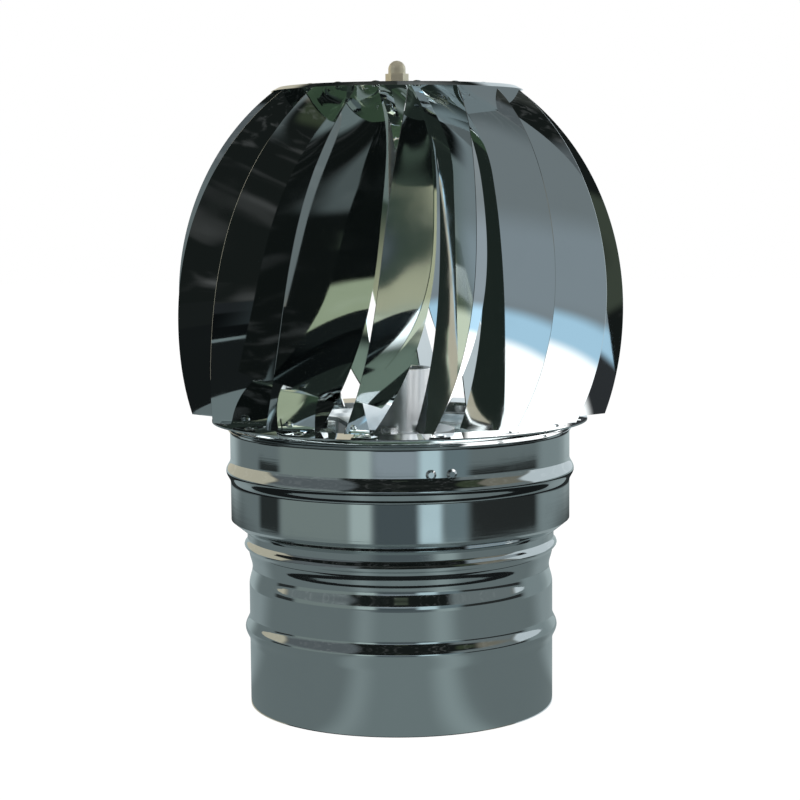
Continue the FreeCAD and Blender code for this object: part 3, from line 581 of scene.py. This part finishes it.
def rolled_sheet_group():
    """Waves, rolling lines and rubbed spots of polished sheet."""
    name = "Rolled sheet"
    if name in bpy.data.node_groups:
        return bpy.data.node_groups[name]
    inputs = {"Vector": "Vector"}
    for label in ("Wave Scale", "Wave Depth", "Line Scale", "Line Depth", "Rub"):
        inputs[label] = "Float"
    outputs = {"Height": "Float", "Rub Mask": "Float"}
    tree, given, result = new_tree(name, "ShaderNodeTree", inputs, outputs)
    value = given.outputs
    place = value["Vector"]
    stretched = node(tree, "ShaderNodeMapping", {"Vector": place, "Scale": (0.04, 0.04, 1.0)})
    wave = noise(tree, place, value["Wave Scale"], 1.0)
    line = noise(tree, stretched.outputs["Vector"], value["Line Scale"], 3.0)
    wave = arithmetic(tree, "MULTIPLY", wave, value["Wave Depth"])
    line = arithmetic(tree, "MULTIPLY", line, value["Line Depth"])
    feed(tree, result.inputs["Height"], arithmetic(tree, "ADD", wave, line))
    spots = ramp(tree, noise(tree, place, 42.0, 5.0), 0.52, 0.75)
    feed(tree, result.inputs["Rub Mask"], arithmetic(tree, "MULTIPLY", spots, value["Rub"]))
    return tree


# Rubbed spots: their tone over the base tone, and how much rougher they are
WORN_SHARE = 0.86
RUB_ROUGHNESS = 0.35


def metal(name, base, roughness, wave=(9.0, 0.0), line=(900.0, 0.0), rub=0.1, tint=None, metallic=1.0):
    """Return a metal whose sheet waves, lines and rubbed spots come from the shared group."""
    made = bpy.data.materials.get(name)
    if made is not None:
        return made
    made = bpy.data.materials.new(name)
    made.use_nodes = True
    tree = made.node_tree
    sheet = node(tree, "ShaderNodeGroup", {
        "Vector": object_place(tree),
        "Wave Scale": wave[0],
        "Wave Depth": wave[1],
        "Line Scale": line[0],
        "Line Depth": line[1],
        "Rub": rub,
    }, node_tree=rolled_sheet_group())
    rubbed = sheet.outputs["Rub Mask"]
    bump = node(tree, "ShaderNodeBump", {
        "Distance": 1.0,
        "Strength": 1.0,
        "Height": sheet.outputs["Height"],
    })
    worn = tint or [part * WORN_SHARE for part in base]
    dress(made, {
        "Metallic": metallic,
        "Base Color": mixed(tree, rubbed, base, worn),
        "Roughness": arithmetic(tree, "MULTIPLY_ADD", rubbed, RUB_ROUGHNESS, roughness),
        "Normal": bump.outputs["Normal"],
    })
    return made


def dress(material, values):
    """Feed the sockets of a material's shader."""
    shader = material.node_tree.nodes["Principled BSDF"]
    for key, value in values.items():
        feed(material.node_tree, shader.inputs[key], value)


# Painted reflections that glow on the vanes where a ray has met several of them: X and Z in millimetres,
# soft edge, tone
PAINTED_POCKET_GLOW_BASE = (0.05, 0.065, 0.055)
PAINTED_POCKET_GLOW = (
    ((-46, -9), (300, 420), 6, (0.13, 0.20, 0.12)),
    ((-46, -9), (236, 300), 6, (1.25, 1.30, 0.90)),
    ((-8, 8), (250, 420), 3, (0.15, 0.20, 0.15)),
    ((-5, 6), (322, 420), 3, (0.55, 0.62, 0.58)),
    ((8, 27), (236, 350), 3, (1.55, 1.45, 0.95)),
    ((-20, 22), (225, 262), 5, (2.20, 2.20, 1.70)),
    ((-40, 24), (150, 225), 6, (0.50, 0.62, 0.50)),
    ((27, 200), (262, 420), 4, (0.60, 0.70, 0.74)),
    ((27, 200), (262, 320), 12, (0.80, 0.95, 1.05)),
    ((27, 200), (240, 264), 4, (1.5, 2.3, 2.9)),
    ((27, 200), (150, 246), 4, (5.0, 5.0, 5.0)),
    ((108, 200), (150, 250), 3, (0.10, 0.11, 0.12)),
)
# Painted glow: its dimming for each reflection short of the last, the reflection from which it shows, the
# deepest ray and the soft edge on the ray's depth
REFLECTANCE = 0.62
LAST_BOUNCE = 3.0
DEEPEST = 99.0
DEPTH_SOFT = 0.1
# Where the painted glow comes sooner: reflections before it, X in millimetres from which it does
SOONER = ((1.5, 32), (0.5, 42))


def paint_glow_on_late_reflections(material):
    """Paint a glow on a mirror that is met after several reflections, its tone set by the spot's place, and
    let the mirror reflect no more.
    """
    tree = material.node_tree
    name = "Late glow"
    if name in tree.nodes:
        return material
    depth = node(tree, "ShaderNodeLightPath").outputs["Ray Depth"]
    east, level = places(tree)
    late = between(tree, depth, (LAST_BOUNCE - 0.5, DEEPEST), DEPTH_SOFT)
    for first, edge in SOONER:
        deep = between(tree, depth, (first, DEEPEST), DEPTH_SOFT)
        sooner = arithmetic(tree, "MULTIPLY", deep, between(tree, east, (edge, 200), 3))
        late = arithmetic(tree, "MAXIMUM", late, sooner)
    left = arithmetic(tree, "SUBTRACT", LAST_BOUNCE, depth)
    loss = arithmetic(tree, "POWER", REFLECTANCE, arithmetic(tree, "MAXIMUM", left, 0.0))
    # Painted reflection: a glowing tone laid by the spot's X and Z, in place of light from further
    # reflections
    tone = painted(tree, east, level, PAINTED_POCKET_GLOW_BASE, PAINTED_POCKET_GLOW)
    strength = arithmetic(tree, "MULTIPLY", late, loss)
    glow = node(tree, "ShaderNodeVectorMath", {0: tone, "Scale": strength}, operation="SCALE", name=name)
    # Where the painted glow takes over, the mirror's colour turns black so that it reflects no more
    base = tree.nodes["Principled BSDF"].inputs["Base Color"].links[0].from_socket
    dress(material, {
        "Base Color": mixed(tree, late, base, (0.0, 0.0, 0.0)),
        "Emission Color": glow.outputs[0],
        "Emission Strength": 1.0,
    })
    return material


def looks():
    """Return the colour settings."""
    return bpy.context.scene.cowl_looks


def polished_head():
    """Return the vanes' and the crown's mirror finish, with painted glowing reflections where rays have met
    several sheets.
    """
    sheet = metal("Polished head sheet", looks().polished, 0.035,
                  wave=(11.0, 0.0005), line=(700.0, 0.0), rub=0.12)
    return paint_glow_on_late_reflections(sheet)


def polished_base():
    """Return the spigot's and the collar's mirror finish, with faint rolling lines."""
    return metal("Polished base sheet", looks().polished, 0.05,
                 wave=(6.0, 0.0003), line=(500.0, 0.00001), rub=0.15)


def satin_steel():
    """Return the finish of the bridge and the stiffener."""
    return metal("Satin steel", looks().satin, 0.32, line=(600.0, 0.00003), rub=0.4)


def rivet_steel():
    """Return the rivets' finish."""
    return metal("Rivet steel", looks().rivet, 0.16, rub=0.4)


def zinc_steel():
    """Return the plated fasteners' finish."""
    return metal("Zinc plate", looks().zinc, 0.24,
                 line=(800.0, 0.00001), rub=0.5, tint=(0.55, 0.55, 0.48))


def nut_brass():
    """Return the weathered, pale brass of the cap nut."""
    return metal("Weathered brass", looks().brass, 0.42,
                 line=(800.0, 0.00001), rub=0.7, tint=(0.42, 0.38, 0.27), metallic=0.7)


def cage_brass():
    """Return the dulled brass of the cages."""
    return metal("Dulled brass", looks().brass, 0.22,
                 line=(800.0, 0.00001), rub=0.7, tint=(0.34, 0.30, 0.20))


# Base outlines
def swell(height, centre, full_height, reach):
    """Return how far a rolled bead stands out at a height."""
    distance = abs(height - centre) / (SWELL_REACH * full_height)
    if distance >= 1:
        return 0.0
    return reach * (0.5 + 0.5 * math.cos(math.pi * distance)) ** SWELL_POWER


def levels(bottom, top, step):
    """Return evenly spaced heights from bottom to top."""
    count = max(int(round((top - bottom) / step)), 1)
    return [bottom + (top - bottom) * index / count for index in range(count + 1)]


def tube_outline(heights, radius_at, wall):
    """Return the closed outline of a tube wall whose outer radius is a function of height."""
    outer = [(radius_at(height), height) for height in heights]
    inner = [(radius_at(height) - wall, height) for height in reversed(heights)]
    return outer + inner


def spigot_outline(sizes, wall):
    """Return the outline of the beaded pipe end."""
    def radius_at(height):
        radius = sizes.spigot_radius
        radius += swell(height, sizes.low_bead, sizes.low_bead_height, sizes.bead_reach)
        radius += swell(height, sizes.stop_bead, sizes.stop_bead_height, sizes.bead_reach)
        return radius - swell(height, sizes.waist, sizes.waist_height, sizes.waist_depth)

    return tube_outline(levels(SPIGOT_LOW.z, SPIGOT_HIGH.z, 1.0 * MM), radius_at, wall)


def collar_outline(sizes, wall):
    """Return the outline of the collar: neck, flare, wall, bead and rolled rim."""
    neck = sizes.spigot_radius + sizes.neck_gap + wall

    def radius_at(height):
        share = (height - sizes.flare_base) / (sizes.flare_top - sizes.flare_base)
        share = min(max(share, 0.0), 1.0)
        radius = neck + (sizes.collar_radius - neck) * share
        radius += swell(height, sizes.collar_bead, sizes.collar_bead_height, sizes.bead_reach)
        rim_middle = sizes.rim_base + sizes.rim_height / 2
        return radius + swell(height, rim_middle, sizes.rim_height * 0.8, sizes.rim_reach)

    heights = levels(COLLAR_LOW.z, sizes.flare_base, 0.5 * MM)
    heights += levels(sizes.flare_base, sizes.flare_top, 0.7 * MM)[1:]
    heights += levels(sizes.flare_top, sizes.rim_base, 1.0 * MM)[1:]
    heights += levels(sizes.rim_base, COLLAR_HIGH.z, 0.35 * MM)[1:]
    return tube_outline(heights, radius_at, wall)


# Operators
class CowlOperator(bpy.types.Operator):
    """Shared access to the settings."""

    bl_options = {"REGISTER", "UNDO"}

    @property
    def head(self):
        """Return the head's sizes."""
        return bpy.context.scene.cowl_head

    @property
    def base(self):
        """Return the base's sizes."""
        return bpy.context.scene.cowl_base


class COWL_OT_base_tubes(CowlOperator):
    """Build the polished spigot and collar"""

    bl_idname = "cowl.base_tubes"
    bl_label = "Spigot and collar"

    def execute(self, context):
        """Revolve both tubes."""
        segments = looks().segments
        wall = self.head.sheet
        outline = spigot_outline(self.base, wall)
        spigot = face_outwards(revolve("spigot_sheet", outline, segments))
        finish_piece(spigot, "base", ["spigot"], polished_base())
        outline = collar_outline(self.base, wall)
        collar = face_outwards(revolve("collar_sheet", outline, segments, smooth_angle=40.0))
        finish_piece(collar, "base", ["collar"], polished_base())
        return {"FINISHED"}


class COWL_OT_vanes(CowlOperator):
    """Build the sixteen folded vanes"""

    bl_idname = "cowl.vanes"
    bl_label = "Folded vanes"

    def execute(self, context):
        """Build one vane and repeat it around the spindle."""
        vertices, faces = one_vane(self.head)
        source = face_outwards(new_object("vane_source", vertices, faces, smooth_angle=60.0))
        vanes = repeat_around("vane_sheets", source, VANE_COUNT, polished_head())
        finish_piece(vanes, "head", VANE_NODES, None)
        return {"FINISHED"}


class COWL_OT_crown(CowlOperator):
    """Build the crown plate with its sloping skirt"""

    bl_idname = "cowl.crown"
    bl_label = "Crown plate"

    def execute(self, context):
        """Revolve the disc and its skirt."""
        wall = self.head.sheet
        disc = self.head.crown_radius
        hole = self.head.crown_hole
        top = CROWN_HIGH.z
        skirt = CROWN_HIGH.x
        outline = [(hole, top - wall)]
        outline += [(disc - wall, top - wall), (skirt - wall, CROWN_LOW.z), (skirt, CROWN_LOW.z)]
        outline += [(disc + BEND_REACH, top - BEND_DROP), (disc - BEND_REACH, top)]
        outline += [(disc * share, top) for share in (0.8, 0.6, 0.4, 0.2)]
        outline += [(hole, top)]
        crown = face_outwards(revolve("crown_sheet", outline, looks().segments, smooth_angle=20.0))
        finish_piece(crown, "head", ["crown_plate"], polished_head())
        return {"FINISHED"}


class COWL_OT_vane_rivets(CowlOperator):
    """Build the domed rivets of the vanes' tabs"""

    bl_idname = "cowl.vane_rivets"
    bl_label = "Vane rivets"

    def execute(self, context):
        """Build one rivet at each end of the front vane and repeat both around the spindle."""
        sizes = self.head
        rows = (
            ("ring_rivet_heads", "ring_rivets", foot_tab(sizes)[1], RING_HIGH.z + sizes.sheet,
             sizes.sheet + sizes.ring_sheet),
            ("crown_rivet_heads", "crown_rivets", crown_tab(sizes)[1], CROWN_HIGH.z, 2 * sizes.sheet),
        )
        for name, replaced, place, level, grip in rows:
            rivet = domed_rivet(name + "_source", sizes, grip)
            rivet.data.transform(Matrix.Translation((place.x, place.y, level)))
            ring = repeat_around(name, rivet, VANE_COUNT, rivet_steel())
            finish_piece(ring, "head", [replaced], None)
        return {"FINISHED"}


class COWL_OT_fittings(CowlOperator):
    """Give the carried-over solids their finishes"""

    bl_idname = "cowl.fittings"
    bl_label = "Inner fittings"

    def execute(self, context):
        """Paint each node by its material slot."""
        makers = {
            "polished_base": polished_base,
            "polished_head": polished_head,
            "plain_steel": satin_steel,
            "turned_steel": satin_steel,
            "rivet_steel": rivet_steel,
            "fastener_zinc": zinc_steel,
            "bearing_steel": rivet_steel,
            "cage_brass": cage_brass,
            "cap_nut_brass": nut_brass,
        }
        for part in frame["record"]["subparts"]:
            solid = frame["nodes"][part["node"]]
            solid.data.materials.clear()
            solid.data.materials.append(makers[part["material_slot"]]())
        return {"FINISHED"}


# Studio cards
def glow_material(name):
    """Return an empty glowing material, its tree and its glow."""
    made = bpy.data.materials.new(name)
    made.use_nodes = True
    tree = made.node_tree
    tree.nodes.clear()
    glow = node(tree, "ShaderNodeEmission")
    node(tree, "ShaderNodeOutputMaterial", {"Surface": glow.outputs[0]})
    return made, tree, glow


def room_material():
    """Return the room: its tones depend on the direction and on the reflections before it."""
    made, tree, glow = glow_material("card_room")
    depth = node(tree, "ShaderNodeLightPath").outputs["Ray Depth"]
    azimuth, elevation = directions(tree, ROOM_LEVEL)
    tone = ROOM_BASE
    for limits, patches in ROOM:
        shown = between(tree, depth, limits, DEPTH_SOFT)
        tone = painted(tree, azimuth, elevation, tone, patches, shown)
    # Faint clutter, so that the dark panels aren't one even tone
    upright = node(tree, "ShaderNodeMapping", {
        "Vector": object_place(tree),
        "Scale": (2.4, 2.4, 0.8),
        "Rotation": (0.5, 0.35, 0.0),
    })
    clutter = ramp(tree, noise(tree, upright.outputs["Vector"], 1.7, 4.0, 1.4), 0.54, 0.78, 0.0, 0.10)
    total = node(tree, "ShaderNodeVectorMath", {0: tone, 1: clutter}, operation="ADD")
    feed(tree, glow.inputs["Color"], total.outputs[0])
    return made


def near_material(name, facing, patches):
    """Return a near card's glow, dimmed where its facing is out of the given range."""
    made, tree, glow = glow_material(name)
    azimuth = directions(tree, 0.0)[0]
    level = places(tree)[1]
    feed(tree, glow.inputs["Color"], painted(tree, azimuth, level, NEAR_BASE, patches))
    if facing is not None:
        weight = node(tree, "ShaderNodeLayerWeight", {"Blend": 0.5})
        shown = between(tree, weight.outputs["Facing"], facing, FACING_SOFT)
        feed(tree, glow.inputs["Strength"], arithmetic(tree, "MAXIMUM", shown, DIMMED))
    return made


def hang(name, outline, segments, material):
    """Turn a thin card about Z that only reflections see."""
    card = revolve(name, outline, segments)
    card.data.materials.append(material)
    for ray in ("camera", "diffuse", "shadow", "transmission", "volume_scatter"):
        setattr(card, "visible_" + ray, False)


def band(inner, outer, low, high):
    """Return the outline of a ring with a rectangular section."""
    return [(inner, low), (outer, low), (outer, high), (inner, high)]


# Radii and heights of the cards, and the facing at which the near ones glow
ROOM_RADIUS = 2.6
ROOM_LEVEL = 0.3
NEAR_RADIUS = 0.5
APRON_RADIUS = 0.215
UNDER_RADIUS = 0.101
CARD_SKIN = 0.001
CURB_LEVELS = (-0.06, 0.14)
TABLE_LEVELS = (0.0002, 0.0003)
GRAZING = (-1.0, 0.036)
FROM_ABOVE = (0.5, 2.0)
FACING_SOFT = 0.004
DIMMED = 0.06
# The floor: its tone, the white that it shows, and the share of that white
FLOOR_TONE = (0.93, 0.93, 0.93)
FLOOR_GLOW = 1.05
FLOOR_WHITE = 0.93
# The room: limits of the ray's depth, then azimuths, elevations, soft edge, tone
ROOM_BASE = (0.012, 0.015, 0.014)
ROOM = (
    ((-1.0, 1.5), (
        ((92, 181), (-25, 36), 4, (0.70, 0.78, 0.82)),
        ((60, 92), (-25, 42), 4, (0.22, 0.21, 0.17)),
        ((37, 92), (-14, 20), 4, (0.19, 0.225, 0.23)),
        ((-95, -38), (-14, 16), 4, (0.19, 0.225, 0.23)),
        ((-181, -95), (-25, 30), 4, (0.60, 0.56, 0.44)),
        ((-95, -34), (12, 45), 4, (0.13, 0.15, 0.16)),
        ((44, 60), (26, 45), 3, (0.05, 0.065, 0.04)),
        ((-5, 5), (10, 15), 1, (0.065, 0.08, 0.06)),
        ((-181, 181), (48, 91), 6, (0.05, 0.055, 0.05)),
        ((100, 181), (48, 91), 8, (0.17, 0.18, 0.18)),
    )),
    ((1.5, 2.5), (
        ((-181, 181), (54, 91), 5, (0.30, 0.36, 0.36)),
        ((-80, -74), (19, 32), 1.5, (0.17, 0.20, 0.20)),
        ((-79, -77), (10, 14), 0.7, (0.12, 0.15, 0.11)),
        ((50, 98), (38, 56), 4, (0.24, 0.27, 0.28)),
        ((50, 98), (26, 40), 3, (0.32, 0.335, 0.345)),
        ((50, 98), (16, 27), 3, (0.41, 0.44, 0.46)),
        ((50, 98), (0, 17), 3, (0.50, 0.56, 0.60)),
        ((50, 98), (12.6, 13.4), 0.3, (0.22, 0.25, 0.27)),
        ((50, 98), (16.4, 17.0), 0.3, (0.25, 0.28, 0.30)),
        ((50, 85), (-16, 1.5), 1.2, (0.66, 1.05, 1.35)),
        ((85, 91), (-16, 1.5), 1.2, (3.2, 3.2, 3.2)),
    )),
    ((2.5, DEEPEST), (
        ((-46, -31), (3, 36), 2, (0.45, 0.53, 0.52)),
        ((-30, -12), (-23, -2), 1.5, (1.13, 1.20, 0.80)),
        ((-22, -13), (-4, 7), 1, (4.0, 4.0, 4.0)),
        ((-10, -1), (-5, 7), 1.5, (0.9, 1.3, 1.55)),
        ((0, 18), (3, 34), 2, (0.75, 0.88, 0.95)),
        ((19, 20.7), (-30, 40), 0.4, (0.15, 0.20, 0.15)),
        ((20.7, 24), (-30, 33), 0.4, (1.40, 1.30, 0.90)),
        ((24, 34), (0, 12), 1, (4.0, 4.0, 4.0)),
        ((24, 34), (-24, -6), 1, (1.65, 1.65, 1.25)),
        ((38, 54), (34, 46), 2, (0.50, 0.55, 0.56)),
    )),
)
# What the spigot and the collar see near them: azimuths, Z in millimetres, soft edge, tone
NEAR_BASE = (0.18, 0.22, 0.225)
CURB = (
    ((-30, 38), (-100, 20), 7, (0.21, 0.26, 0.265)),
    ((-30, -18), (-100, 20), 5, (0.30, 0.36, 0.365)),
    ((22, 38), (-100, 60), 5, (0.35, 0.43, 0.43)),
    ((-19, 19), (-2, 52), 7, (0.10, 0.125, 0.135)),
    ((-78, -30), (52, 200), 4, (0.24, 0.29, 0.28)),
    ((-30, -16), (52, 200), 3, (0.48, 0.58, 0.57)),
    ((-16, 11), (45, 104), 4, (0.085, 0.11, 0.12)),
    ((-16, 11), (106, 200), 4, (0.34, 0.40, 0.44)),
    ((11, 25), (52, 200), 3, (0.62, 0.80, 0.86)),
    ((25, 41), (52, 200), 4, (0.18, 0.24, 0.26)),
    ((41, 94), (52, 112), 4, (0.028, 0.032, 0.032)),
    ((-98, -79), (52, 112), 3, (0.03, 0.036, 0.036)),
    ((96, 130), (-100, 200), 6, (0.27, 0.33, 0.34)),
    ((130, 181), (-100, 200), 10, (0.42, 0.50, 0.51)),
    ((-181, -130), (-100, 200), 10, (0.42, 0.50, 0.51)),
)
TABLE = (
    ((-30, 38), (-100, 100), 9, (0.21, 0.26, 0.265)),
    ((-29, -19), (-100, 100), 7, (0.28, 0.34, 0.345)),
    ((19, 33), (-100, 100), 7, (0.31, 0.38, 0.385)),
    ((-181, -110), (-100, 100), 12, (0.30, 0.36, 0.37)),
    ((110, 181), (-100, 100), 12, (0.30, 0.36, 0.37)),
)


class COWL_OT_studio(CowlOperator):
    """Set up the camera, the floor, the lamps and the reflection cards"""

    bl_idname = "cowl.studio"
    bl_label = "Studio"

    def execute(self, context):
        """Build the stage around the cowl."""
        scene = context.scene
        settings = scene.cowl_studio
        camera_data = bpy.data.cameras.new("camera")
        camera_data.lens = settings.camera_lens
        camera_data.sensor_width = 36.0
        camera_data.shift_x = 0.5 / 800  # half a pixel of the photograph
        camera = bpy.data.objects.new("camera", camera_data)
        pitch = Matrix.Rotation(math.radians(90 - settings.camera_pitch), 4, "X")
        roll = Matrix.Rotation(math.radians(-settings.camera_roll), 4, "Z")
        place = Matrix.Translation((0, -settings.camera_distance, settings.camera_height))
        camera.matrix_world = place @ pitch @ roll
        scene.collection.objects.link(camera)
        scene.camera = camera
        self.backdrop(scene, settings.sky)
        self.floor()
        self.cards()
        self.lamp("lamp_key", (-1.1, -1.5, 1.6), 1.2, 14.0)
        self.lamp("lamp_fill", (1.5, -1.0, 1.2), 1.2, 8.0)
        scene.view_settings.view_transform = "Standard"
        return {"FINISHED"}

    def backdrop(self, scene, sky):
        """Make a white world for the camera and reflections, and a softer one for light."""
        world = bpy.data.worlds.new("backdrop")
        scene.world = world
        world.use_nodes = True
        tree = world.node_tree
        tree.nodes.clear()
        seen = node(tree, "ShaderNodeBackground", {"Color": sky, "Strength": 1.0})
        light = node(tree, "ShaderNodeBackground", {"Color": sky, "Strength": 0.8})
        blend = node(tree, "ShaderNodeMixShader", {
            "Fac": white_rays(tree),
            1: light.outputs[0],
            2: seen.outputs[0],
        })
        node(tree, "ShaderNodeOutputWorld", {"Surface": blend.outputs[0]})

    def cards(self):
        """Hang the room, the curb around the floor and the two table rings on it."""
        turns = [math.radians(step) for step in range(3, 180, 6)]
        room = [(ROOM_RADIUS * math.sin(turn), ROOM_LEVEL - ROOM_RADIUS * math.cos(turn)) for turn in turns]
        room += [(radius + CARD_SKIN, level) for radius, level in reversed(room)]
        hang("card_room", room, 72, room_material())
        rings = (
            ("card_curb", band(NEAR_RADIUS, NEAR_RADIUS + CARD_SKIN, *CURB_LEVELS), GRAZING, CURB),
            ("card_table", band(APRON_RADIUS, NEAR_RADIUS, *TABLE_LEVELS), FROM_ABOVE, TABLE),
            ("card_under", band(UNDER_RADIUS, APRON_RADIUS, *TABLE_LEVELS), None, TABLE),
        )
        for name, outline, facing, patches in rings:
            hang(name, outline, 96, near_material(name, facing, patches))

    def floor(self):
        """Lay a plain pale floor that the camera sees as white as the backdrop."""
        floor = new_object("floor", [(-6, -6, 0), (6, -6, 0), (6, 6, 0), (-6, 6, 0)], [(0, 1, 2, 3)])
        floor.data.transform(Matrix.Translation((0, 0, -0.0002)))
        pale = bpy.data.materials.new("floor")
        pale.use_nodes = True
        tree = pale.node_tree
        dress(pale, {"Base Color": FLOOR_TONE, "Roughness": 0.9, "Specular IOR Level": 0.0})
        white = node(tree, "ShaderNodeEmission", {"Strength": FLOOR_GLOW})
        blend = node(tree, "ShaderNodeMixShader", {
            "Fac": arithmetic(tree, "MULTIPLY", white_rays(tree), FLOOR_WHITE),
            1: tree.nodes["Principled BSDF"].outputs[0],
            2: white.outputs[0],
        })
        feed(tree, tree.nodes["Material Output"].inputs["Surface"], blend.outputs[0])
        floor.data.materials.append(pale)
        floor.visible_glossy = False

    def lamp(self, name, place, size, power):
        """Hang one soft area lamp that looks at the cowl."""
        data = bpy.data.lights.new(name, "AREA")
        data.shape = "DISK"
        data.size = size
        data.energy = power
        lamp = bpy.data.objects.new(name, data)
        lamp.visible_glossy = False
        aim = (Vector((0, 0, 0.2)) - Vector(place)).to_track_quat("-Z", "Y")
        lamp.matrix_world = Matrix.Translation(place) @ aim.to_matrix().to_4x4()
        bpy.context.scene.collection.objects.link(lamp)


class COWL_PT_panel(bpy.types.Panel):
    """List the cowl's operators and settings"""

    bl_idname = "COWL_PT_panel"
    bl_label = "Chimney cowl"
    bl_space_type = "VIEW_3D"
    bl_region_type = "UI"
    bl_category = "Cowl"

    def draw(self, context):
        """Draw one button for each operator, then the settings."""
        for operator in OPERATORS:
            self.layout.operator(operator.bl_idname)
        for group in GROUPS:
            settings = getattr(context.scene, group)
            for key in settings.bl_rna.properties.keys():
                if key not in {"rna_type", "name"}:
                    self.layout.prop(settings, key)


OPERATORS = (
    COWL_OT_studio,
    COWL_OT_fittings,
    COWL_OT_base_tubes,
    COWL_OT_vanes,
    COWL_OT_crown,
    COWL_OT_vane_rivets,
)
GROUPS = {
    "cowl_head": CowlHeadSizes,
    "cowl_base": CowlBaseSizes,
    "cowl_looks": CowlLooks,
    "cowl_studio": CowlStudio,
}


def register():
    """Register the settings, the operators and the panel."""
    for key, group in GROUPS.items():
        bpy.utils.register_class(group)
        setattr(bpy.types.Scene, key, bpy.props.PointerProperty(type=group))
    for operator in OPERATORS:
        bpy.utils.register_class(operator)
    bpy.utils.register_class(COWL_PT_panel)


def unregister():
    """Take everything out again, in the reverse order."""
    bpy.utils.unregister_class(COWL_PT_panel)
    for operator in reversed(OPERATORS):
        bpy.utils.unregister_class(operator)
    for key, group in reversed(GROUPS.items()):
        delattr(bpy.types.Scene, key)
        bpy.utils.unregister_class(group)


def main():
    """Build everything."""
    register()
    bpy.ops.cowl.studio()
    bpy.ops.cowl.fittings()
    bpy.ops.cowl.base_tubes()
    bpy.ops.cowl.vanes()
    bpy.ops.cowl.crown()
    bpy.ops.cowl.vane_rivets()


if __name__ == "__main__":
    main()
